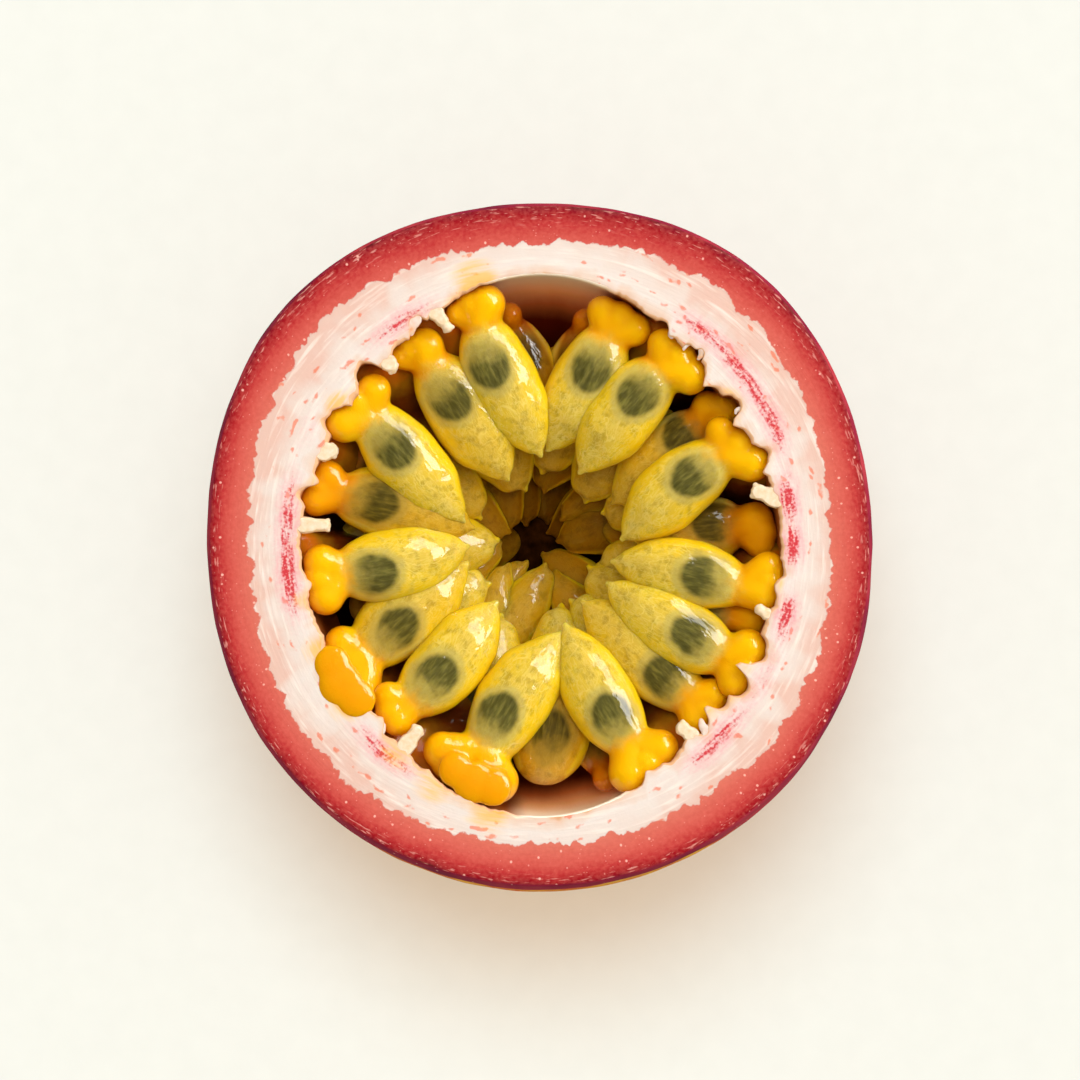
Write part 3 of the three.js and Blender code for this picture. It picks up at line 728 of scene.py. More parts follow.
# %% Waxy skin
def skin_paint(tree):
    """Wine red with pale pores, and a cheek blotched with yellow."""
    place = add(tree, "ShaderNodeTexCoord").outputs["Object"]
    cloud = add(
        tree, "ShaderNodeTexNoise", {"Vector": place, "Scale": 1 / (7 * MM), "Detail": 4}
    ).outputs[0]
    colour = add(
        tree, "ShaderNodeValToRGB", {0: cloud}, [(0.3, "#6e1631"), (0.72, "#b23a42"), (0.5, "#8f2238")]
    ).outputs[0]
    pores = add(tree, "ShaderNodeTexVoronoi", {"Vector": place, "Scale": 1 / (1.1 * MM)})
    big = add(
        tree, "ShaderNodeMath", {0: pores.outputs["Color"], 1: 0.45}, operation="GREATER_THAN"
    ).outputs[0]
    pore = add(
        tree, "ShaderNodeMapRange", {0: pores.outputs["Distance"], 1: 0.16, 2: 0.07, 3: 0.0, 4: 0.6}
    ).outputs[0]
    pale = add(tree, "ShaderNodeMath", {0: pore, 1: big}, operation="MULTIPLY").outputs[0]
    cheek = add(tree, "ShaderNodeAttribute", attribute_name="cheek").outputs["Fac"]
    uneven_cheek = add(tree, "ShaderNodeMath", {0: cloud, 1: 0.9}, operation="MULTIPLY").outputs[0]
    edge = add(tree, "ShaderNodeMath", {0: cheek, 1: uneven_cheek}, operation="SUBTRACT").outputs[0]
    flushed = add(
        tree, "ShaderNodeMapRange", {0: edge, 1: -0.1, 2: 0.35, 3: 0.0, 4: 1.0},
        interpolation_type="SMOOTHSTEP",
    ).outputs[0]
    blotch = add(
        tree, "ShaderNodeTexNoise", {"Vector": place, "Scale": 1 / (4 * MM), "Detail": 6, "Roughness": 0.65}
    ).outputs[0]
    ripe = add(
        tree, "ShaderNodeMapRange", {0: blotch, 1: 0.42, 2: 0.64, 3: 1.0, 4: 0.4}
    ).outputs[0]
    yellow = add(tree, "ShaderNodeMath", {0: flushed, 1: ripe}, operation="MULTIPLY").outputs[0]
    flush = add(
        tree, "ShaderNodeValToRGB", {0: yellow},
        [(0.0, "#a83338"), (1.0, "#e2a840"), (0.4, "#c8562f"), (0.7, "#d98a38")],
    ).outputs[0]
    colour = add(
        tree, "ShaderNodeMix", {0: flushed, 6: colour, 7: flush}, data_type="RGBA"
    ).outputs[2]
    colour = add(
        tree, "ShaderNodeMix", {0: pale, 6: colour, 7: linear("#e0a89a")}, data_type="RGBA"
    ).outputs[2]
    wave = add(
        tree, "ShaderNodeTexNoise", {"Vector": place, "Scale": 1 / (0.8 * MM), "Detail": 2}
    ).outputs[0]
    bump = add(
        tree, "ShaderNodeBump", {"Height": wave, "Distance": 0.04 * MM, "Strength": 0.5}
    ).outputs[0]
    return {"Base Color": colour, "Normal": bump}


# Wax: a soft, weak sheen over a matt colour.
waxy_skin = material(
    "waxy fruit skin", skin_paint, Roughness=0.42, IOR=1.42, Specular_IOR_Level=0.0, Coat_Weight=0.05,
    Coat_Roughness=0.2, Subsurface_Weight=0.05, Subsurface_Scale=0.4 * MM,
)
print(f"skin: {len(waxy_skin.node_tree.nodes)} nodes")

# %% [markdown]
# ## The hollow's wall
#
# The wall of the hollow was never cut. It is smooth, moist and tanned by the juice, so the cream of the
# pith turns to brown within a few millimetres of the lip. Deeper down it is painted darker, to near black,
# as painted shade. In a bright room some light comes through the pith from outside, and the wall glows
# red-brown. Tracing that light would take long, so a faint glow is painted where it comes out.

# %% Moist wall
def wall_paint(tree):
    """Cream at the lip, browner further down and painted shade to near black deep down, with the glow in
    the open arcs.
    """
    depth = add(tree, "ShaderNodeAttribute", attribute_name="below_cut").outputs["Fac"]
    around = add(tree, "ShaderNodeAttribute", attribute_name="round_and_out").outputs["Vector"]
    cloud = add(tree, "ShaderNodeTexNoise", {"Vector": around, "Scale": 1 / 1.8, "Detail": 3}).outputs[0]
    shift = add(tree, "ShaderNodeMath", {0: cloud, 1: 1.2, 2: -0.6}, operation="MULTIPLY_ADD").outputs[0]
    level = add(tree, "ShaderNodeMath", {0: depth, 1: shift}, operation="ADD").outputs[0]
    down = add(tree, "ShaderNodeMapRange", {0: level, 1: 0, 2: 20}).outputs[0]
    # Painted shade: from about ten millimetres down the ramp darkens to near black at 20 mm.
    colour = add(
        tree, "ShaderNodeValToRGB", {0: down},
        [(0.0, "#fff0de"), (1.0, "#1c0200"), (0.3, "#ffe0b8"), (0.45, "#ffbc78"), (0.58, "#dc7434"),
         (0.72, "#6e1a04")],
    ).outputs[0]
    calm = add(tree, "ShaderNodeAttribute", attribute_name="calm").outputs["Fac"]
    # Torn stretches start tan, and their painted shade reaches near black sooner.
    torn = add(
        tree, "ShaderNodeValToRGB", {0: down},
        [(0.0, "#e0ae84"), (1.0, "#2a0602"), (0.12, "#c47838"), (0.35, "#8c3c0c")],
    ).outputs[0]
    colour = add(tree, "ShaderNodeMix", {0: calm, 6: torn, 7: colour}, data_type="RGBA").outputs[2]

    # The glow of the light that has come through the pith.
    through = add(
        tree, "ShaderNodeValToRGB", {0: down},
        [(0.15, "#000000"), (0.85, "#000000"), (0.4, "#642c12"), (0.52, "#4a1a0a"), (0.66, "#120200")],
    ).outputs[0]
    glow = add(
        tree, "ShaderNodeMix", {0: calm, 6: linear("#000000"), 7: through}, data_type="RGBA"
    ).outputs[2]
    fine = add(tree, "ShaderNodeTexNoise", {"Vector": around, "Scale": 1 / 0.3, "Detail": 2}).outputs[0]
    bump = add(
        tree, "ShaderNodeBump", {"Height": fine, "Distance": 0.03 * MM, "Strength": 0.5}
    ).outputs[0]
    return {"Base Color": colour, "Emission Color": glow, "Normal": bump}


# A moist membrane: nearly matt, with no coat, because it lies in the shade.
moist_wall = material(
    "moist inner wall", wall_paint, Roughness=0.42, IOR=1.38, Specular_IOR_Level=0.15,
    Emission_Strength=1.0,
)
print(f"wall: {len(moist_wall.node_tree.nodes)} nodes")

# %% [markdown]
# ## Skin and red flesh
#
# The outside bowl is spun as one closed wall: along the cut face, over a slightly rounded edge, down the
# skin to the flat spot it rests on, and back up the inside.

# %% Red shell
EDGE = 0.3  # mm: rounding where the knife met the skin
SKIN_REACH = 1.2  # mm: faces this near to the outline are skin, the rest is the hidden inside
SKIN_START = 0.05  # mm below the cut
SEAM_ROWS = rows(RED_FLESH, 26, 0, RED_FLESH["bottom"])[:-1]


def arc(centre, size, first, last, steps):
    """Points of a rounded edge in a profile, from one angle to another in degrees."""
    angles = np.radians(np.linspace(first, last, steps))
    return [(centre[0] + size * math.cos(a), centre[1] - size * math.sin(a)) for a in angles]


red_face = [(radius, 0.0) for radius in np.linspace(RED_FLESH["rim"], SKIN["rim"] - EDGE, 9)[1:-1]]
red_profile = (
    [(0, RED_FLESH["bottom"])] + SEAM_ROWS[::-1] + red_face
    + arc((SKIN["rim"] - EDGE, EDGE), EDGE, 90, 0, 4) + rows(SKIN, 60, EDGE, HEIGHT)[1:] + [(0, HEIGHT)]
)


def is_skin(middles, normals):
    """Faces on the outside, below the cut."""
    radius, _, depth = polar(middles)
    return (depth > SKIN_START) & (radius > SKIN["rim"] * share(SKIN, depth) - SKIN_REACH)


red_mesh = spun(red_profile)
give_second_material(red_mesh, is_skin)
uneven(red_mesh)
dented(red_mesh)
mark_shell(red_mesh)
shown("skin_and_red_flesh", red_mesh, ["red_shell"], [cut_flesh, waxy_skin])
print(f"red shell: {len(red_mesh.polygons)} faces")

# %% [markdown]
# ## Pith
#
# The pith is the inner bowl, spun in the same way. Its lip is rounded, because soft pith slumps a little
# where the knife leaves it. Below the cut it keeps a hair's breadth from the red flesh, so that no two
# faces lie in one place.

# %% White pith
LIP = 0.45  # mm: rounding of the lip
HIDDEN_GAP = 0.08  # mm: between pith and red flesh below the cut, where nothing shows
WALL_LEAN = -0.35  # a face of the wall leans at least this much towards the axis
BOTTOM_START = 5  # mm below the cut: from here on a face that looks up belongs to the hollow

hidden = [(radius - HIDDEN_GAP, depth) for radius, depth in SEAM_ROWS[1:]]
pith_face = [(radius, 0.0) for radius in np.linspace(RED_FLESH["rim"], PITH["rim"] + LIP, 13)]
pith_profile = (
    [(0, RED_FLESH["bottom"] - HIDDEN_GAP)] + hidden[::-1] + pith_face
    + arc((PITH["rim"] + LIP, LIP), LIP, 90, 180, 7)[1:] + rows(PITH, 46, LIP, PITH["bottom"])[1:-1]
    + [(0, PITH["bottom"])]
)


def is_hollow(middles, normals):
    """Faces that look at the axis or up from the bottom of the hollow."""
    radius, _, depth = polar(middles)
    outwards = (normals[:, :2] * middles[:, :2]).sum(axis=1) / np.maximum(0.1, radius)
    return (outwards < WALL_LEAN) | ((depth > BOTTOM_START) & (normals[:, 2] > 0))


pith_mesh = spun(pith_profile)
give_second_material(pith_mesh, is_hollow)
uneven(pith_mesh)
mark_shell(pith_mesh)
shown("pith_with_hollow", pith_mesh, ["white_pith"], [cut_flesh, moist_wall])
print(f"pith: {len(pith_mesh.polygons)} faces")

# %% [markdown]
# ## Welding soft shapes
#
# Stalks, lobes and sacs grow into one another. Overlapping balls, cones and drops are fused by a voxel
# remesh, which welds them into one skin as metaballs would, and a few rounds of smoothing soften the
# creases.

# %% Weld
def fused(bm, voxel, rounds):
    """Welds overlapping closed shapes into one skin of faces about a voxel wide, then smooths it."""
    mesh = bpy.data.meshes.new("blank")
    bm.to_mesh(mesh)
    bm.free()
    blank = bpy.data.objects.new("blank", mesh)
    bpy.context.scene.collection.objects.link(blank)
    remesh = blank.modifiers.new("weld", "REMESH")
    remesh.mode = "VOXEL"
    remesh.voxel_size = voxel
    soften = blank.modifiers.new("soften", "SMOOTH")
    soften.factor = 0.5
    soften.iterations = rounds
    graph = bpy.context.evaluated_depsgraph_get()
    skin = bpy.data.meshes.new_from_object(blank.evaluated_get(graph))
    bpy.data.objects.remove(blank)
    bpy.data.meshes.remove(mesh)
    return skin


def joined(meshes):
    """One mesh of several, with the numbers kept on their points."""
    bm = bmesh.new()
    for mesh in meshes:
        bm.from_mesh(mesh)
    whole = bpy.data.meshes.new("whole")
    bm.to_mesh(whole)
    bm.free()
    return whole

# %% [markdown]
# ## Broken stalks
#
# Eight stalks have lost their arils. Each stub is a pale peg a little over a millimetre thick, flared at
# the root and frayed at the end. A chain of overlapping balls from the lip to the end is welded into one
# shape. Its top stays a hair's breadth under the cut face, so the root sinks into the pith unseen.

# %% Stubs
STUBS = [  # root, end and thickness of each broken stalk
    ((-10.4, 23.2), (-9.05, 21.5), 1.0), ((-15.9, 19.0), (-14.55, 17.5), 1.1),
    ((-22.9, 9.3), (-20.4, 9.5), 1.3), ((-23.4, 2.0), (-21.1, 2.0), 1.1),
    ((-13.55, -20.2), (-12.05, -18.2), 1.2), ((15.3, -19.2), (13.8, -18.0), 1.2),
    ((22.8, -7.0), (21.6, -6.2), 0.9), ((23.45, 4.8), (21.3, 5.5), 1.3),
]
STUB_DEPTH = 0.55  # mm: axis of a stub below the cut face
STUB_CLEAR = 0.03  # mm: between the cut face and the top of a stub
STUB_BALLS = 18
STUB_VOXEL = 0.08  # mm
FRAYED = (-0.42, -0.14, 0.14, 0.42)  # places of the frayed ends across a stub, as shares of its thickness


def stub_mesh(root, end, thick):
    """A stalk with a flared root at the lip and a frayed end."""
    start, stop = (Vector((x, y, HEIGHT - STUB_DEPTH)) for x, y in (root, end))
    along = (stop - start).normalized()
    back = stop.copy()
    while math.hypot(back.x, back.y) < float(lip_radius(math.atan2(back.y, back.x), 0.0)):
        back -= along * 0.1  # from the end to the lip, wherever that is here
    stop -= along * 0.45 * thick
    bm = bmesh.new()
    for part in np.linspace(0, 1, STUB_BALLS):
        place = back.lerp(stop, part)
        ragged = 1 + 0.25 * noise.noise(place / 0.6)
        size = thick * (0.6 + 0.2 * (1 - part) ** 2) * ragged
        bmesh.ops.create_icosphere(bm, subdivisions=2, radius=size, matrix=Matrix.Translation(place))
    across = along.cross(Vector((0, 0, 1)))
    for aside in FRAYED:
        ahead = 0.25 + 0.3 * noise.noise(stop + across * 9 * aside)
        place = stop + across * aside * thick + along * ahead * thick
        bmesh.ops.create_icosphere(
            bm, subdivisions=2, radius=0.24 * thick, matrix=Matrix.Translation(place)
        )
    mesh = fused(bm, STUB_VOXEL, 2)
    xyz = places(mesh)
    xyz[:, 2] = np.minimum(xyz[:, 2], HEIGHT - STUB_CLEAR)
    move(mesh, xyz)
    return mesh


def stub_paint(tree):
    """Cream with a grain of half a millimetre."""
    place = add(tree, "ShaderNodeTexCoord").outputs["Object"]
    grain = add(
        tree, "ShaderNodeTexNoise", {"Vector": place, "Scale": 1 / (0.5 * MM), "Detail": 2}
    ).outputs[0]
    colour = add(
        tree, "ShaderNodeValToRGB", {0: grain}, [(0.3, "#e2c49a"), (0.7, "#ecd8c0")]
    ).outputs[0]
    bump = add(
        tree, "ShaderNodeBump", {"Height": grain, "Distance": 0.06 * MM, "Strength": 0.5}
    ).outputs[0]
    return {"Base Color": colour, "Normal": bump}


# Moist plant fibre: cream, soft in the light, with small wet highlights.
broken_stalk = material(
    "moist broken stalk", stub_paint, Roughness=0.35, IOR=1.38, Coat_Weight=0.4, Coat_Roughness=0.1,
    Subsurface_Weight=0.3, Subsurface_Scale=0.8 * MM, Subsurface_Radius=(1.0, 0.8, 0.5),
)
stubs = joined([stub_mesh(*stub) for stub in STUBS])
shown("broken_stalks", stubs, ["white_pith"], [broken_stalk])
print(f"{len(STUBS)} stubs, {len(stubs.polygons)} faces")

# %% [markdown]
# ## Torn threads of the lip
#
# Where arils were pulled off, the lip tore into threads. Each is a flat strip of pith that tapers and
# droops over the arils. It is made as the stubs are, from flattened balls on a wavy line. The waves come
# from vector noise, which Blender starts from the clock. With a seed they are the same in every run.

# %% Torn threads
SHREDS = [  # torn threads of pith over the lip: root, end and thickness
    ((13.6, 22.2), (13.3, 20.6), 0.9), ((15.2, 20.9), (14.5, 19.8), 0.6),
    ((16.7, 19.9), (15.8, 18.7), 0.7), ((18.3, 17.8), (17.2, 16.7), 1.0),
    ((20.9, 14.0), (19.6, 13.3), 0.6), ((21.2, 13.0), (19.9, 12.0), 1.0),
    ((22.2, 11.6), (21.0, 10.6), 0.6), ((-20.0, -17.4), (-18.9, -16.6), 0.8),
    ((-18.2, -18.6), (-17.1, -17.4), 0.9), ((-16.6, -19.4), (-15.9, -17.9), 0.8),
    ((-24.6, -3.9), (-23.3, -3.8), 0.8), ((17.0, -18.8), (16.0, -17.5), 0.8),
    ((21.4, -13.6), (20.3, -12.5), 0.7), ((-12.8, 22.6), (-13.3, 21.0), 0.8),
    ((-24.0, 7.4), (-22.9, 6.7), 0.7),
]
SHRED_SEED = 1795537585  # any fixed number makes the waves stay the same, and this one gives good threads
SHRED_BALLS = 12
SHRED_VOXEL = 0.09  # mm
SHRED_DEPTHS = (0.22, 0.35)  # mm: a thread's root and end below the cut face
SHRED_CLEAR = 0.04  # mm: between the cut face and the top of a thread
SHRED_FLATNESS = 0.42  # a thread's height as a share of its width


def shred_mesh(root, end, thick):
    """A flat tapering thread that starts in the lip and droops over the arils."""
    start = Vector((*root, HEIGHT - SHRED_DEPTHS[0]))
    stop = Vector((*end, HEIGHT - SHRED_DEPTHS[1]))
    bm = bmesh.new()
    for part in np.linspace(0, 1, SHRED_BALLS):
        place = start.lerp(stop, part)
        wave = noise.noise_vector(place / 0.9 + Vector((0, 0, 5)))
        place += Vector((0.45 * wave.x, 0.45 * wave.y, 0.12 * wave.z)) * (0.3 + part)
        size = thick * (1.1 - 0.8 * part**0.8) * (1 + 0.3 * wave.z)
        flat = Matrix.Diagonal((1, 1, SHRED_FLATNESS, 1))
        bmesh.ops.create_icosphere(
            bm, subdivisions=2, radius=size, matrix=Matrix.Translation(place) @ flat
        )
    mesh = fused(bm, SHRED_VOXEL, 2)
    xyz = places(mesh)
    xyz[:, 2] = np.minimum(xyz[:, 2], HEIGHT - SHRED_CLEAR)
    move(mesh, xyz)
    return mesh


def shred_paint(tree):
    """Cream pith, stained orange by the juice in places a millimetre wide."""
    place = add(tree, "ShaderNodeTexCoord").outputs["Object"]
    grain = add(
        tree, "ShaderNodeTexNoise", {"Vector": place, "Scale": 1 / (0.9 * MM), "Detail": 3}
    ).outputs[0]
    colour = add(
        tree, "ShaderNodeValToRGB", {0: grain},
        [(0.28, "#e89a60"), (0.7, "#e4d0c4"), (0.4, "#e2b89c"), (0.55, "#e0c8ba")],
    ).outputs[0]
    bump = add(
        tree, "ShaderNodeBump", {"Height": grain, "Distance": 0.1 * MM, "Strength": 0.5}
    ).outputs[0]
    return {"Base Color": colour, "Normal": bump}


# Torn pith: as moist as the stalks, but thinner, so light goes further through it.
torn_pith = material(
    "moist torn pith", shred_paint, Roughness=0.35, IOR=1.38, Coat_Weight=0.3, Coat_Roughness=0.1,
    Subsurface_Weight=0.4, Subsurface_Scale=0.8 * MM, Subsurface_Radius=(1.0, 0.6, 0.4),
)
noise.seed_set(SHRED_SEED)
shreds = joined([shred_mesh(*shred) for shred in SHREDS])
shown("torn_lip_shreds", shreds, ["white_pith"], [torn_pith])
print(f"{len(SHREDS)} threads, {len(shreds.polygons)} faces")

# %% [markdown]
# ## Juice along the wall
#
# Torn arils leave thick juice behind the heads, caught between them and the wall. It is a lumpy ring with
# a wet amber face, high at the wall and lower towards the middle, painted dark brown deeper down as
# painted shade. It is missing where the hollow is open.

# %% Pooled juice
GAPS = [  # degrees to the middle, half width, how much lower
    (88, 16, 17), (274, 14, 17), (199, 6, 8), (172, 4, 4), (40, 8, 4), (8, 8, 4), (-20, 6, 3),
]
POOL = [  # the ring's profile as radius and depth: its sloping face, then its hidden underside
    (26.2, 3.4), (23.5, 4.0), (22.0, 5.2), (20.5, 6.6), (19.0, 8.2), (16.0, 9.2), (12.0, 10.2),
    (12.0, 13.0), (26.2, 13.0),
]
POOL_STEPS = 240  # facets round the ring, before each is cut in four
POOL_UNDERSIDE = 12  # mm below the cut: what is deeper keeps its flat shape
POOL_AT_WALL = 24.5  # mm from the axis: what is further out follows the wall
POOL_INTO_WALL = 0.25  # mm: the ring reaches into the wall, so that no gap shows
POOL_LUMPS = (0.7, 1.8)  # mm: height and size of the lumps of its face


def pooled_juice():
    """The ring of juice: spun, lumped, lowered where the hollow is open, and pressed against the wall."""
    bm = bmesh.new()
    verts = [bm.verts.new((radius, 0, HEIGHT - depth)) for radius, depth in POOL]
    edges = [bm.edges.new(pair) for pair in zip(verts, verts[1:] + verts[:1])]
    bmesh.ops.spin(
        bm, geom=verts + edges, cent=(0, 0, 0), axis=(0, 0, 1), angle=FULL_TURN, steps=POOL_STEPS,
        use_merge=True,
    )
    bmesh.ops.remove_doubles(bm, verts=bm.verts, dist=1e-3)
    bmesh.ops.subdivide_edges(bm, edges=bm.edges[:], cuts=1, use_grid_fill=True)
    bmesh.ops.recalc_face_normals(bm, faces=bm.faces)
    mesh = bpy.data.meshes.new("juice")
    bm.to_mesh(mesh)
    bm.free()
    xyz = places(mesh)
    radius, angle, depth = polar(xyz)
    lower = sum(
        drop * np.exp(-((np.degrees(between_angles(angle, math.radians(middle))) / half) ** 4))
        for middle, half, drop in GAPS
    )
    height, size = POOL_LUMPS
    lumps = np.array([noise.noise(Vector(point) / size) for point in xyz])
    by_wall = smooth(15.5, 18.5, radius)
    xyz[:, 2] -= lower * by_wall - np.where(depth < POOL_UNDERSIDE, height * lumps, 0)
    outer = radius > POOL_AT_WALL
    reach = lip_radius(angle, HEIGHT - xyz[:, 2]) + POOL_INTO_WALL
    moved = np.where(outer, reach, np.minimum(radius, reach - 0.3))
    xyz[:, 0], xyz[:, 1] = moved * np.cos(angle), moved * np.sin(angle)
    move(mesh, xyz)
    # Painted shade: the juice is painted darker the deeper it lies, and less so towards the middle.
    painted_juice_shade = np.clip((HEIGHT - xyz[:, 2] - 2) / 8, 0, 1)
    note(mesh, "painted_juice_shade", painted_juice_shade * (1 - 0.55 * smooth(19.5, 16.5, radius)))
    return mesh


def juice_paint(tree):
    """Amber near the top, and painted shade that turns it dark brown in the deep."""
    painted_juice_shade = add(tree, "ShaderNodeAttribute", attribute_name="painted_juice_shade").outputs["Fac"]
    place = add(tree, "ShaderNodeTexCoord").outputs["Object"]
    cloud = add(
        tree, "ShaderNodeTexNoise", {"Vector": place, "Scale": 1 / (1.6 * MM), "Detail": 3}
    ).outputs[0]
    shift = add(tree, "ShaderNodeMath", {0: cloud, 1: 0.24, 2: -0.12}, operation="MULTIPLY_ADD").outputs[0]
    level = add(tree, "ShaderNodeMath", {0: painted_juice_shade, 1: shift}, operation="ADD").outputs[0]
    colour = add(
        tree, "ShaderNodeValToRGB", {0: level},
        [(0.0, "#d88410"), (1.0, "#1e0602"), (0.25, "#b8600a"), (0.42, "#94600c"), (0.6, "#6a2c06")],
    ).outputs[0]
    bump = add(
        tree, "ShaderNodeBump", {"Height": cloud, "Distance": 0.2 * MM, "Strength": 0.5}
    ).outputs[0]
    return {"Base Color": colour, "Normal": bump}


# Thick juice: a wet face, and deep subsurface light that reddens with distance.
thick_juice = material(
    "thick amber juice", juice_paint, Roughness=0.3, IOR=1.36, Specular_IOR_Level=0.1, Coat_Weight=0.6,
    Coat_Roughness=0.05, Coat_IOR=1.36, Subsurface_Weight=0.7, Subsurface_Scale=2.5 * MM,
    Subsurface_Radius=(1.0, 0.5, 0.1),
)
juice_ring = pooled_juice()
shown("pooled_juice", juice_ring, ["white_pith"], [thick_juice])
print(f"juice: {len(juice_ring.polygons)} faces")

# %% [markdown]
# ## Arils
#
# An aril is a seed in a sac of juice. The sac is a drop: round at the stalk and drawn out to a small
# nipple. It could be modelled once and copied, but no two sacs are alike. A rule for the half width from
# root to tip gives each its own length, fullness and beak. Two heads at the lip burst and ran out over it.

# %% Aril rules
SAC_THICKNESS = 0.78  # of a sac's width
SAC_DROP = 1.8  # mm: a sac's tip is lower than its neck
SAC_ROOT = 0.9  # mm: how far a sac runs back into the lobes of its stalk
SAC_BLUNTNESS = 0.45  # of the end at the stalk: 0.5 would be round
SAC_FULLNESS = 1.1  # sacs press against their neighbours
SMOOTHING_LOSS = 0.3  # mm of width that welding and smoothing take away
NIPPLE = [(1.5, 1.0), (0.9, 0.75), (0.35, 0.55), (-0.2, 0.4)]  # balls: mm back from the tip, and radius
FILLING = (0.25, 0.5, 0.75)  # places of the balls between a lobe and the neck, as shares of the way
SPILLS = {  # juice run out over the lip, as low domes: x, y and radius of each, by aril
    12: [(-8.5, -22.5, 1.8), (-6.7, -23.7, 2.2), (-4.8, -24.2, 2.0)],
    14: [(-20.9, -11.9, 2.0), (-20.1, -13.9, 2.4), (-18.5, -15.4, 2.1)],
}
SPILL_DEPTH = 0.35  # mm: middle of the domes, under the cut face
SPILL_HEIGHT = 0.4  # mm: top of the domes, over the cut face


def half_width(s, width, sharpness, pinch):
    """Half width of a sac from its root, 0, to its tip, 1. A pinch hollows its flanks by the tip."""

    def shape(t):
        return t**SAC_BLUNTNESS * (1 - t) ** sharpness

    plump = shape(np.clip(s, 0, 1)) / shape(SAC_BLUNTNESS / (SAC_BLUNTNESS + sharpness))
    return (SAC_FULLNESS * width + SMOOTHING_LOSS) / 2 * plump * (1 - pinch * smooth(0.7, 0.97, s))


def aril_frame(tip, neck, depth, drop):
    """A matrix whose origin is the sac's root, with +X to the tip and +Z up, and the sac's length."""
    start = Vector((*neck, HEIGHT - depth))
    end = Vector((*tip, HEIGHT - depth - drop))
    along = (end - start).normalized()
    start -= along * SAC_ROOT
    across = Vector((0, 0, 1)).cross(along).normalized()
    turn = Matrix((along, across, along.cross(across))).transposed().to_4x4()
    return Matrix.Translation(start) @ turn, (end - start).length


def add_sac(bm, matrix, length, width, sharpness, pinch, bend, beak):
    """A drop from its root to its tip, and ever smaller balls that draw the tip out."""
    bmesh.ops.create_uvsphere(bm, u_segments=36, v_segments=44, radius=1)
    for vert in bm.verts:
        s = (1 - vert.co.z) / 2
        girth = vert.co.xy.length
        half = float(half_width(s, width, sharpness, pinch))
        side, height = (vert.co.x / girth, vert.co.y / girth) if girth > 1e-6 else (0, 0)
        vert.co = (s * length, half * side + bend * 4 * s * (1 - s), half * SAC_THICKNESS * height)
    bm.transform(matrix)
    for back, radius in NIPPLE:
        place = matrix @ Vector((length - back, beak * (1 - 0.35 * back), 0))
        bmesh.ops.create_icosphere(bm, subdivisions=2, radius=radius, matrix=Matrix.Translation(place))


def add_heads(bm, neck, level, rise, lobes):
    """The lobes of the stalk, with balls between each lobe and the neck, and between neighbours."""
    crown = Vector((*neck, level))
    balls = [(Vector((x, y, level + rise)), radius * LOBE_SWELL) for x, y, radius in lobes]
    filling = []
    for place, radius in balls:
        filling += [(place.lerp(crown, part), radius) for part in FILLING]
    for (one, size), (other, other_size) in zip(balls, balls[1:]):
        outwards = Vector((*neck, 0)).normalized() * 0.3
        filling.append((one.lerp(other, 0.5) + outwards, 0.5 * (size + other_size)))
    for place, radius in balls + filling:
        bmesh.ops.create_icosphere(bm, subdivisions=3, radius=radius, matrix=Matrix.Translation(place))


def add_spill(bm, number):
    """Flattened balls where this aril's juice ran out over the lip."""
    for x, y, radius in SPILLS.get(number, []):
        place = Matrix.Translation((x, y, HEIGHT - SPILL_DEPTH))
        low = Matrix.Diagonal((1, 1, (SPILL_DEPTH + SPILL_HEIGHT) / radius, 1))
        bmesh.ops.create_icosphere(bm, subdivisions=3, radius=radius, matrix=place @ low)


widest = float(half_width(SAC_BLUNTNESS / (SAC_BLUNTNESS + 0.48), 6.3, 0.48, 0.25))
print(f"a sac of 6.3 mm is drawn {2 * widest:.1f} mm wide before it is welded and smoothed")

# %% [markdown]
# ## From rule to aril
#
# One function makes any aril from its row of numbers. Metaballs would swell wherever a neighbour comes
# near, so each aril is welded by itself. A slow noise then dimples its skin, because a full sac is never
# quite smooth. Last, each point writes down its place on the aril's own ruler, which runs from the root
# to the tip, so that the paint knows where the seed hangs, where the sides are and where the stalk begins.

# %% One aril
SAC_VOXEL = 0.22  # mm
SAC_ROUNDS = 8  # of smoothing
DIMPLES = (0.16, 2.6)  # mm: height and size of the dimples
APART = 17.0  # mm: arils lie this far apart in the noise, so that no two get the same pattern
SEED_ASIDE = 0.6  # mm: a seed hangs no further than this from the middle of its sac
# Spilled juice is thin, so its painted top light gets no paler than at this height.
SPILL_LIGHT_CAP = 0.7  # mm over the heads: spilled juice is thin, so it gets no paler than at this height


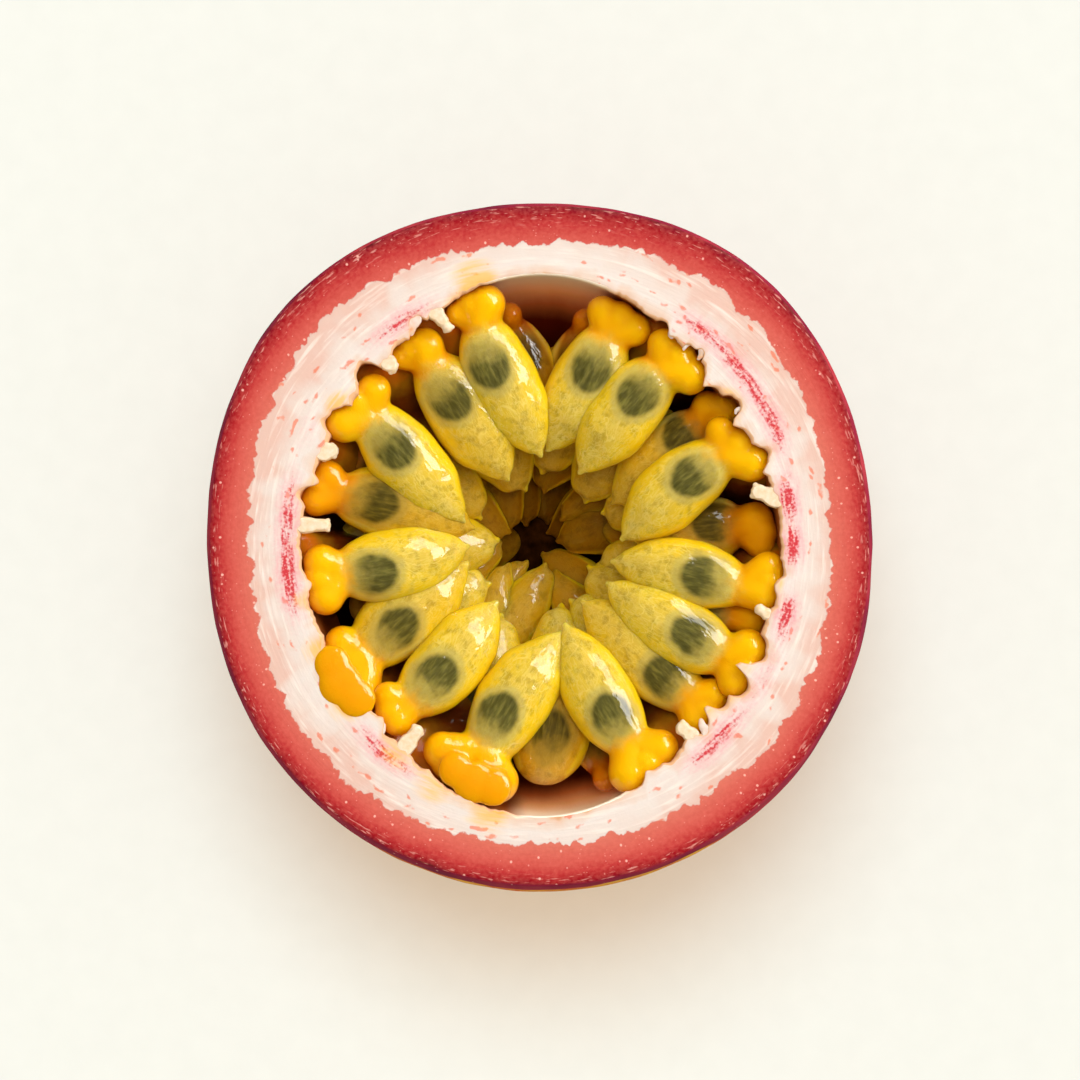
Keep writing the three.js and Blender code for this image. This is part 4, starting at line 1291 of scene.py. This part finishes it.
def aril_mesh(tip, neck, width, depth, lobes=(), seed=None, drop=SAC_DROP, sharpness=0.48, pinch=0.25,
              bend=0.0, tone=1.0, number=0, voxel=SAC_VOXEL, beak=0.0):
    """One aril, in mm round the fruit's axis, with its ruler kept on its points."""
    matrix, length = aril_frame(tip, neck, depth, drop)
    level = HEIGHT - depth
    rise = 0.5 + 0.25 * max(0, depth - 5)  # the heads reach up towards the lip
    bm = bmesh.new()
    add_sac(bm, matrix, length, width, sharpness, pinch, bend, beak)
    add_heads(bm, neck, level, rise, lobes)
    add_spill(bm, number)
    mesh = fused(bm, voxel, SAC_ROUNDS)

    xyz = places(mesh)
    ruler = np.array(matrix.inverted())
    local = xyz @ ruler[:3, :3].T + ruler[:3, 3]
    height, size = DIMPLES
    start = Vector((number * APART, 0, 0))
    wobble = np.array([noise.noise(Vector(point) / size + start) for point in xyz])
    normals = np.empty(len(mesh.vertices) * 3)
    mesh.vertices.foreach_get("normal", normals)
    xyz += normals.reshape(-1, 3) * (height * wobble * smooth(0, 2.5, local[:, 0]))[:, None]
    move(mesh, xyz)

    s = local[:, 0] / length
    half = np.maximum(1.0, half_width(s, width, sharpness, pinch))
    centred = local[:, 1] - bend * 4 * s * (1 - s)
    seed_place = ruler[:3, :3] @ np.array((*(seed or neck), level)) + ruler[:3, 3]
    seed_x = seed_place[0] if seed else 0.3 * length
    seed_y = np.clip(seed_place[1], -SEED_ASIDE, SEED_ASIDE) if seed else 0
    note(mesh, "from_seed", np.stack([local[:, 0] - seed_x, centred - seed_y, local[:, 2]], axis=1))
    note(mesh, "girth", np.minimum(1, np.abs(centred) / half) * smooth(-0.5, 1.5, local[:, 0]))
    note(mesh, "along", local[:, 0] + (0 if lobes else 4))  # a sac without lobes has no orange end
    # The height over the heads sets the painted light on the yolk, and on spilled juice it stops at a cap.
    over = xyz[:, 2] - level - rise
    if number in SPILLS:
        over -= np.maximum(0, over - SPILL_LIGHT_CAP) * smooth(HEIGHT - 1.4, HEIGHT - 0.4, xyz[:, 2])
    note(mesh, "over_heads", over)
    # Painted light: an aril in painted shade is painted a little lighter at its stalk end, which reaches
    # up.
    note(mesh, "tone", tone + (0.08 * smooth(1.5, -1.0, local[:, 0]) if tone < 1 else np.zeros(len(s))))
    note(mesh, "number", np.full(len(s), start.x))
    return mesh

# %% [markdown]
# ## The jelly
#
# A sac is jelly under a film of juice. Its skin is clear gold at the sides, where the eye looks through
# more of it, and cloudy in the middle. Pale fibres net it. Clear jelly with a real seed in it would need
# many bounces of light, and these sacs are too cloudy to see through, so the paint tells what lies inside.

# %% Jelly
def jelly_colour(tree, own, cloud, girth):
    """Gold at the sides and olive in the middle, with dark pits and pale fibres, and the fibres alone."""
    # Body: cloudy olive gold in the middle, clear yellow at the sides.
    mottle = add(tree, "ShaderNodeMath", {0: cloud, 1: 0.5, 2: -0.25}, operation="MULTIPLY_ADD").outputs[0]
    sideways = add(tree, "ShaderNodeMath", {0: girth, 1: mottle}, operation="ADD").outputs[0]
    body = add(
        tree, "ShaderNodeValToRGB", {0: sideways},
        [(0.1, "#d2b446"), (1.0, "#e8bc06"), (0.5, "#dab830"), (0.8, "#e2ba12")],
    ).outputs[0]

    # Dark pits, then fine fibres: faint crossing threads and hairs that run along the sac.
    inner = add(tree, "ShaderNodeMapRange", {0: sideways, 1: 0.95, 2: 0.6}).outputs[0]
    blotch = add(tree, "ShaderNodeTexNoise", {"Vector": own, "Scale": 1 / 1.0, "Detail": 3}).outputs[0]
    blotch = add(tree, "ShaderNodeMapRange", {0: blotch, 1: 0.52, 2: 0.34, 3: 0.0, 4: 0.5}).outputs[0]
    blotch = add(tree, "ShaderNodeMath", {0: blotch, 1: inner}, operation="MULTIPLY").outputs[0]
    body = add(
        tree, "ShaderNodeMix", {0: blotch, 6: body, 7: linear("#937a1e")}, data_type="RGBA"
    ).outputs[2]
    net = None
    for stretch, seed_shift, width, strength in (
        ((0.3, 0.45, 0.45), 0.0, 0.024, 0.6), ((0.75, 1.1, 1.1), 31.0, 0.025, 0.4),
        ((0.4, 2.4, 2.4), 57.0, 0.05, 0.4),
    ):
        place_here = add(
            tree, "ShaderNodeVectorMath", {0: own, 1: stretch, 2: (seed_shift, 0, 0)},
            operation="MULTIPLY_ADD",
        ).outputs[0]
        field = add(
            tree, "ShaderNodeTexNoise",
            {"Vector": place_here, "Scale": 1.0, "Detail": 3, "Roughness": 0.6, "Distortion": 0.5},
        ).outputs[0]
        off = add(tree, "ShaderNodeMath", {0: field, 1: 0.5}, operation="SUBTRACT").outputs[0]
        away = add(tree, "ShaderNodeMath", {0: off}, operation="ABSOLUTE").outputs[0]
        line = add(tree, "ShaderNodeMapRange", {0: away, 1: width, 2: 0.0, 3: 0.0, 4: strength}).outputs[0]
        net = line if net is None else add(
            tree, "ShaderNodeMath", {0: net, 1: line}, operation="MAXIMUM"
        ).outputs[0]
    threads = add(tree, "ShaderNodeMath", {0: net, 1: inner}, operation="MULTIPLY").outputs[0]
    body = add(
        tree, "ShaderNodeMix", {0: threads, 6: body, 7: linear("#e8d270")}, data_type="RGBA"
    ).outputs[2]
    return body, net

# %% [markdown]
# ## Seed and stalk end
#
# The seed hangs near the stalk and shows as a soft grey-green oval. Towards the stalk more jelly covers it,
# so that end of it fades. The lobes at the stalk are dense and egg-yolk orange. They are painted paler
# where they bulge up and a deeper orange lower down, as painted light and shade.

# %% Seed and stalk end
def with_seed(tree, body, place, own, cloud):
    """The jelly's colour with the seed showing through it."""
    # Seed: an oval 4.8 by 4 mm, blurred by the jelly over it, with fine streaks along it.
    oval_place = add(
        tree, "ShaderNodeVectorMath", {0: place, 1: (1 / 2.45, 1 / 2.0, 0)}, operation="MULTIPLY"
    ).outputs[0]
    oval = add(tree, "ShaderNodeVectorMath", {0: oval_place}, operation="LENGTH").outputs["Value"]
    fuzzy = add(tree, "ShaderNodeMath", {0: cloud, 1: 0.3, 2: -0.15}, operation="MULTIPLY_ADD").outputs[0]
    oval = add(tree, "ShaderNodeMath", {0: oval, 1: fuzzy}, operation="ADD").outputs[0]
    halo = add(
        tree, "ShaderNodeMapRange", {0: oval, 1: 1.5, 2: 1.2, 3: 0.0, 4: 0.6},
        interpolation_type="SMOOTHSTEP",
    ).outputs[0]
    body = add(
        tree, "ShaderNodeMix", {0: halo, 6: body, 7: linear("#b4a45a")}, data_type="RGBA"
    ).outputs[2]
    seed = add(
        tree, "ShaderNodeMapRange", {0: oval, 1: 1.18, 2: 0.84, 3: 0.0, 4: 0.95},
        interpolation_type="SMOOTHSTEP",
    ).outputs[0]
    axes = add(tree, "ShaderNodeSeparateXYZ", {0: place})
    cover = add(tree, "ShaderNodeMath", {0: cloud, 1: 3.0, 2: -1.5}, operation="MULTIPLY_ADD").outputs[0]
    forward = add(tree, "ShaderNodeMath", {0: axes.outputs[0], 1: cover}, operation="ADD").outputs[0]
    clear = add(
        tree, "ShaderNodeMapRange", {0: forward, 1: -2.2, 2: 0.3, 3: 0.28, 4: 1.0},
        interpolation_type="SMOOTHSTEP",
    ).outputs[0]
    seed = add(tree, "ShaderNodeMath", {0: seed, 1: clear}, operation="MULTIPLY").outputs[0]
    streak_place = add(
        tree, "ShaderNodeVectorMath", {0: own, 1: (0.6, 2.6, 2.6)}, operation="MULTIPLY"
    ).outputs[0]
    streak = add(tree, "ShaderNodeTexNoise", {"Vector": streak_place, "Scale": 1.0, "Detail": 2}).outputs[0]
    seed_colour = add(
        tree, "ShaderNodeValToRGB", {0: streak}, [(0.3, "#3e3c16"), (0.75, "#7c7434"), (0.5, "#565224")]
    ).outputs[0]
    body = add(tree, "ShaderNodeMix", {0: seed, 6: body, 7: seed_colour}, data_type="RGBA").outputs[2]
    return body


def with_stalk_end(tree, body, along, over, cloud):
    """The jelly's colour with the orange of the lobes, painted lighter on their tops and darker low down.
    """
    # Stalk end: yolk orange, which glows a little way into the sac.
    blurred = add(tree, "ShaderNodeMath", {0: cloud, 1: 2.4, 2: -1.2}, operation="MULTIPLY_ADD").outputs[0]
    inwards = add(tree, "ShaderNodeMath", {0: along, 1: blurred}, operation="ADD").outputs[0]
    stalk = add(
        tree, "ShaderNodeMapRange", {0: inwards, 1: 2.6, 2: 0.4, 3: 0.0, 4: 1.0},
        interpolation_type="SMOOTHSTEP",
    ).outputs[0]
    # Painted light and shade: the yolk is paler the higher a point stands over the heads, and deeper orange
    # low down.
    high = add(tree, "ShaderNodeMapRange", {0: over, 1: -0.2, 2: 1.8}).outputs[0]
    yolk = add(
        tree, "ShaderNodeValToRGB", {0: high}, [(0.0, "#d27200"), (1.0, "#f4b600"), (0.4, "#e89800")]
    ).outputs[0]
    body = add(tree, "ShaderNodeMix", {0: stalk, 6: body, 7: yolk}, data_type="RGBA").outputs[2]
    return body

# %% [markdown]
# ## The film of juice
#
# Wet means a film of juice over everything. It is a sharp coat with bumps of its own, because the film
# is wavy where the sac under it is smooth. Less light comes down between the upper arils, and each aril
# carries a tone for that.

# %% Wet jelly
def jelly_paint(tree):
    """The colour of an aril from the inside out, the bump of its fibres, and the film's own bump."""
    place = add(tree, "ShaderNodeAttribute", attribute_name="from_seed").outputs["Vector"]
    girth, along, tone, number, over = (
        add(tree, "ShaderNodeAttribute", attribute_name=name).outputs["Fac"]
        for name in ("girth", "along", "tone", "number", "over_heads")
    )
    shift = add(tree, "ShaderNodeCombineXYZ", {0: number, 1: number}).outputs[0]
    own = add(tree, "ShaderNodeVectorMath", {0: place, 1: shift}, operation="ADD").outputs[0]
    cloud = add(tree, "ShaderNodeTexNoise", {"Vector": own, "Scale": 1 / 1.6, "Detail": 3}).outputs[0]
    body, net = jelly_colour(tree, own, cloud, girth)
    body = with_seed(tree, body, place, own, cloud)
    body = with_stalk_end(tree, body, along, over, cloud)

    # Painted shade makes deeper arils darker and browner, and a painted highlight keeps their thin edges
    # lighter.
    edge = add(
        tree, "ShaderNodeMapRange", {0: girth, 1: 0.72, 2: 0.94, 3: 0.0, 4: 0.5},
        interpolation_type="SMOOTHSTEP",
    ).outputs[0]
    kept = add(tree, "ShaderNodeMath", {0: tone, 1: edge}, operation="ADD", use_clamp=True).outputs[0]
    painted_shade_tint = add(
        tree, "ShaderNodeValToRGB", {0: kept},
        [(0.0, "#140a00"), (1.0, "#ffffff"), (0.3, "#8a6420"), (0.6, "#d2ac58"), (0.85, "#f6e6bc")],
    ).outputs[0]
    colour = add(
        tree, "ShaderNodeMix", {0: 1.0, 6: body, 7: painted_shade_tint}, data_type="RGBA", blend_type="MULTIPLY"
    ).outputs[2]

    # The film of juice is wavy, and crumples into small flat facets on parts of each sac.
    wave = add(tree, "ShaderNodeTexNoise", {"Vector": own, "Scale": 1 / 3.2, "Detail": 1}).outputs[0]
    bump = add(
        tree, "ShaderNodeBump", {"Height": wave, "Distance": 0.4 * MM, "Strength": 0.4}
    ).outputs[0]
    facet_place = add(
        tree, "ShaderNodeVectorMath", {0: own, 1: (0.4, 0.85, 0.85)}, operation="MULTIPLY"
    ).outputs[0]
    facets = add(
        tree, "ShaderNodeTexVoronoi", {"Vector": facet_place, "Scale": 1.0}, feature="DISTANCE_TO_EDGE"
    ).outputs["Distance"]
    crumpled = add(tree, "ShaderNodeMapRange", {0: cloud, 1: 0.42, 2: 0.6, 3: 0.0, 4: 0.5}).outputs[0]
    folded = add(tree, "ShaderNodeMath", {0: facets, 1: crumpled}, operation="MULTIPLY").outputs[0]
    film = add(
        tree, "ShaderNodeBump", {"Height": folded, "Distance": 0.5 * MM, "Strength": 0.6, "Normal": bump}
    ).outputs[0]
    fine = add(
        tree, "ShaderNodeBump", {"Height": net, "Distance": 0.06 * MM, "Strength": 0.4, "Normal": bump}
    ).outputs[0]
    return {"Base Color": colour, "Normal": fine, "Coat Normal": film}


# Cloudy jelly: light goes in and comes out gold, and the coat gives the sharp wet highlights.
wet_jelly = material(
    "juice jelly", jelly_paint, Roughness=0.4, IOR=1.36, Specular_IOR_Level=0.1, Coat_Weight=1.0,
    Coat_Roughness=0.03, Coat_IOR=1.6, Subsurface_Weight=0.6, Subsurface_Scale=2.2 * MM,
    Subsurface_Radius=(1.0, 0.7, 0.12),
)
print(f"jelly: {len(wet_jelly.node_tree.nodes)} nodes")

# %% [markdown]
# ## The ring
#
# The arils lie as spokes, some on top and some pressed down between two others. The lower ones are fuller,
# because they fill the gaps, and are painted darker as painted shade, because they get less light. Each
# lies where its row in the table says and stands for one solid of the frame.

# %% Ring of arils
def tone_at(depth):
    """How bright an aril is: less light reaches the deeper ones."""
    return float(1 - 0.04 * max(0, depth - 5.5))


# Painted shade of the arils that lie under their neighbours: their tones, by number.
LOWER_TONES = {4: 0.82, 6: 0.7, 9: 0.92, 11: 0.72, 14: 0.92, 16: 0.77, 18: 0.94}
# Painted shade of the arils below the ring: one dark tone, and a lighter one for one of them.
BEHIND_TONES = {3: 0.8}  # the one that lies nearest to the light
BEHIND_TONE = 0.5
LOWER_FULLNESS = 1.14  # the lower ones fill the gaps between the others
for number, (tip, neck, width, depth, seed, lobes) in enumerate(RING, 1):
    fuller = LOWER_FULLNESS if depth > 4 else 1
    mesh = aril_mesh(
        tip, neck, width * fuller, depth, lobes, seed, bend=0.35 * (-1) ** number,
        tone=LOWER_TONES.get(number, 1.0), number=number,
    )
    shown(f"juice_sac_{number:02d}", mesh, [f"ring_aril_{number:02d}"], [wet_jelly])
for number, (tip, neck, width, depth, lobes) in enumerate(BEHIND, 1):
    mesh = aril_mesh(
        tip, neck, width, depth, lobes, tone=BEHIND_TONES.get(number, BEHIND_TONE), number=30 + number
    )
    shown(f"lower_sac_{number:02d}", mesh, [f"behind_aril_{number:02d}"], [wet_jelly])
print(f"{len(RING)} arils in the ring, {len(BEHIND)} behind it, the last of {len(mesh.polygons)} faces")

# %% [markdown]
# ## The inner rings
#
# Inside the ring the tips of deeper arils crowd towards the middle, each row lower, smaller and darker with
# painted shade.
# Their sides press flat against each other, so their flanks are hollowed and they end in beaks. The first
# of these rows has twelve arils, each with a solid of its own in the frame.

# %% Inner ring
SECOND_TIPS = [
    (0.95, 8.0), (4.1, 5.4), (6.8, 3.1), (6.2, -1.0), (4.8, -2.6), (3.8, -5.0),
    (1.45, -6.2), (-3.5, -7.4), (-5.7, -3.0), (-4.6, 0.2), (-5.9, 3.9), (-2.3, 6.0),
]
SECOND_NECK = 20.2  # mm from the axis
SECOND_WIDTH = 7.0  # mm
SECOND_DEPTH = 11.4  # mm below the cut
inner_look = {"drop": 0.8, "sharpness": 0.32, "pinch": 0.3}


def shade(away):
    """Inner arils that hang from the top turn away from the light, and the lower ones face it."""
    return 0.14 * max(0, math.sin(away + 0.2)) - 0.24 * max(0, -math.sin(away + 0.35))


for number, (x, y) in enumerate(SECOND_TIPS, 1):
    away = math.atan2(y, x)
    neck = (SECOND_NECK * math.cos(away), SECOND_NECK * math.sin(away))
    mesh = aril_mesh(
        (x, y), neck, SECOND_WIDTH, SECOND_DEPTH, tone=min(1, tone_at(8.5) - shade(away)),
        number=50 + number, beak=0.7 * (-1) ** number, **inner_look,
    )
    shown(f"inner_sac_{number:02d}", mesh, [f"inner_aril_{number:02d}"], [wet_jelly])
print(f"{len(SECOND_TIPS)} inner arils, the last of {len(mesh.polygons)} faces")

# %% [markdown]
# ## The bottom of the hollow
#
# The deepest arils are one piece, because they grow together at the bottom. The lower an aril lies, the
# nearer its neck is to the axis. Under them is a lump of juice, painted nearly black as painted shade, so
# that no gap shows light.

# %% Deep arils
DEEP = [  # tip, direction of the neck in degrees, width, depth
    ((2.3, 0.7), 28, 6.4, 16.6), ((0.8, -0.1), -48, 5.6, 18.0), ((1.25, 1.6), 40, 4.8, 18.8),
    ((2.2, 3.8), 33, 4.6, 15.4), ((-2.7, 2.5), 112, 4.0, 15.8), ((-3.7, 1.5), 148, 5.6, 15.0),
    ((-3.8, -1.6), -112, 4.6, 15.0), ((0.85, -1.9), -118, 5.0, 15.2), ((1.25, -2.7), -55, 4.6, 15.8),
    ((0.0, 6.4), 72, 5.2, 15.0), ((-1.95, -1.15), -122, 3.8, 16.6), ((-4.1, 0.3), -155, 4.2, 16.0),
    ((-1.05, 3.1), 110, 4.6, 18.2), ((0.3, 3.3), 80, 4.4, 19.4), ((-1.7, 1.0), 178, 5.4, 20.4),
    ((-0.3, -1.0), -95, 5.4, 20.8), ((6.0, 2.1), 8, 4.6, 14.6), ((-2.5, 6.6), 104, 4.4, 14.6),
    ((-4.5, 4.1), 135, 4.2, 15.4), ((4.6, -4.2), -40, 5.0, 16.0), ((-2.2, -4.6), -100, 5.0, 16.4),
]
DEEP_VOXEL = 0.25  # mm
deep = []
for number, (tip, degrees, width, depth) in enumerate(DEEP, 1):
    reach = 17.5 - 0.9 * (depth - 15)
    away = math.radians(degrees)
    neck = (reach * math.cos(away), reach * math.sin(away))
    deep.append(aril_mesh(
        tip, neck, width, depth, tone=tone_at(depth + 1.5) - shade(away), number=70 + number,
        beak=0.5 * (-1) ** number, voxel=DEEP_VOXEL, **inner_look,
    ))


def core_paint(tree):
    """Nearly black painted shade, with lumps of a millimetre and a half."""
    place = add(tree, "ShaderNodeTexCoord").outputs["Object"]
    lump = add(
        tree, "ShaderNodeTexNoise", {"Vector": place, "Scale": 1 / (1.5 * MM), "Detail": 2}
    ).outputs[0]
    colour = add(
        tree, "ShaderNodeValToRGB", {0: lump}, [(0.35, "#160701"), (0.7, "#3a1c06")]
    ).outputs[0]
    bump = add(
        tree, "ShaderNodeBump", {"Height": lump, "Distance": 0.3 * MM, "Strength": 0.6}
    ).outputs[0]
    return {"Base Color": colour, "Normal": bump}


# Juice painted nearly black as painted shade: a dull mass, with no highlight that would bring it forward.
juice_in_painted_shade = material("bottom juice in painted shade", core_paint, Roughness=0.75, Specular_IOR_Level=0.0)
CORE = {"radius": 12.4, "depth": 23.2, "half_height": 3.0}
core_bm = bmesh.new()
bmesh.ops.create_icosphere(core_bm, subdivisions=5, radius=1)
for vert in core_bm.verts:
    lumps = 1 + 0.12 * noise.noise(vert.co * 4)
    vert.co *= lumps
    vert.co = (
        vert.co.x * CORE["radius"], vert.co.y * CORE["radius"],
        vert.co.z * CORE["half_height"] + HEIGHT - CORE["depth"],
    )
core = bpy.data.meshes.new("core")
core_bm.to_mesh(core)
core_bm.free()
core.polygons.foreach_set("material_index", np.ones(len(core.polygons), dtype=np.int32))
deep_mesh = joined(deep + [core])
shown("deep_sacs", deep_mesh, ["deep_arils"], [wet_jelly, juice_in_painted_shade])
print(f"{len(DEEP)} deep arils in {len(deep_mesh.polygons)} faces")

# %% [markdown]
# ## The camera
#
# The camera looks almost straight down on the cut face, as one does on a fruit on a table. It leans back
# by two degrees and aims beside the middle. Its lens follows from its distance and the width it has to take
# in, so moving it nearer changes the perspective and not the framing.

# %% Camera
FRAME_WIDTH = 0.108  # m at the cut face
AIM = Vector((0.02, 0.9, HEIGHT)) * MM
ELEVATION = math.radians(88)
DISTANCE = 0.45
camera = bpy.data.objects.new("camera", bpy.data.cameras.new("camera"))
bpy.context.scene.collection.objects.link(camera)
camera.data.lens = camera.data.sensor_width * DISTANCE / FRAME_WIDTH
camera.location = AIM + DISTANCE * Vector((0, -math.cos(ELEVATION), math.sin(ELEVATION)))
camera.rotation_euler = (math.pi / 2 - ELEVATION, 0, 0)
camera.data.clip_start = 0.01
bpy.context.scene.camera = camera
print(f"a {camera.data.lens:.0f} mm lens, {DISTANCE} m from the cut face")

# %% [markdown]
# ## The floor
#
# The half lies on a sheet of pale paper, wide enough to have no edge in any view. The paper is bluish,
# since the light on it is warm.

# %% Floor
FLOOR_HALF = 1.5  # m
floor_bm = bmesh.new()
bmesh.ops.create_grid(floor_bm, x_segments=1, y_segments=1, size=FLOOR_HALF)
floor_mesh = bpy.data.meshes.new("floor")
floor_bm.to_mesh(floor_mesh)
floor_bm.free()


def paper_paint(tree):
    """Pale paper with faint clouds of 3 mm."""
    place = add(tree, "ShaderNodeTexCoord").outputs["Object"]
    grain = add(tree, "ShaderNodeTexNoise", {"Vector": place, "Scale": 1 / (3 * MM)}).outputs[0]
    colour = add(
        tree, "ShaderNodeValToRGB", {0: grain}, [(0.3, "#c5d0d6"), (0.7, "#c7d2d8")]
    ).outputs[0]
    return {"Base Color": colour}


# Uncoated paper: matt, with no highlight at all.
floor_mesh.materials.append(material("matt paper", paper_paint, Roughness=0.7))
floor = bpy.data.objects.new("floor", floor_mesh)
bpy.context.scene.collection.objects.link(floor)
print(f"a floor {2 * FLOOR_HALF} m wide")

# %% [markdown]
# ## The light
#
# A soft box overhead lights everything. It isn't seen in reflections, because it would lay a pale veil
# over each wet sac. Two window panes light only the fruit and give it small sharp highlights on one side.
# Two suns light only the floor and turn the paper near to white. The warm one stands straight above, so
# its hard-edged shadow lies under the fruit. The cool one is wide and comes from the back, and its soft
# shadow falls to the front.

# %% Light
def softbox(name, direction, distance, width, height, radiance):
    """A rectangular light that faces the fruit. Radiance is its brightness, where white paper is 1."""
    light = bpy.data.lights.new(name, "AREA")
    light.shape = "RECTANGLE"
    light.size, light.size_y = width, height
    light.energy = radiance * math.pi * width * height
    lamp = bpy.data.objects.new(name, light)
    bpy.context.scene.collection.objects.link(lamp)
    lamp.location = Vector(direction).normalized() * distance
    lamp.rotation_euler = (-lamp.location).to_track_quat("-Z", "Y").to_euler()
    return lamp


def table_sun(name, strength, colour):
    """A sun that lights only the floor."""
    light = bpy.data.lights.new(name, "SUN")
    light.energy = strength
    light.color = colour
    lamp = bpy.data.objects.new(name, light)
    bpy.context.scene.collection.objects.link(lamp)
    lamp.light_linking.receiver_collection = table_only
    return lamp


table_only = bpy.data.collections.new("lit by the suns")
table_only.objects.link(floor)
fruit_only = bpy.data.collections.new("lit by the window")
for piece in bpy.context.scene.objects:
    if piece.type == "MESH" and piece is not floor:
        fruit_only.objects.link(piece)
overhead = softbox("overhead softbox", (0.08, 0.2, 0.97), 1.6, 0.8, 0.8, 3.1)
overhead.visible_glossy = False
window = softbox("window", (0.74, 0.34, 0.57), 1.5, 0.75, 0.8, 6.8)
second_pane = softbox("second pane", (0.42, 0.7, 0.57), 1.5, 0.75, 0.7, 4.4)
for lamp in (window, second_pane):
    lamp.light_linking.receiver_collection = fruit_only
    lamp.light_linking.blocker_collection = fruit_only
table_sun("table glow", 2.2, (1.0, 0.62, 0.36))
cool_sun = table_sun("cool table light", 1.4, (0.7, 0.95, 1.0))
cool_sun.data.angle = math.radians(30)
cool_sun.rotation_euler = Vector((0.05, -0.4, -1)).to_track_quat("-Z", "Y").to_euler()
world = bpy.data.worlds.new("studio")
world.use_nodes = True
world.node_tree.nodes["Background"].inputs[0].default_value = linear("#fbf6e6")
world.node_tree.nodes["Background"].inputs[1].default_value = 0.52
world.cycles_visibility.glossy = False
bpy.context.scene.world = world
bpy.context.scene.view_settings.view_transform = "Standard"
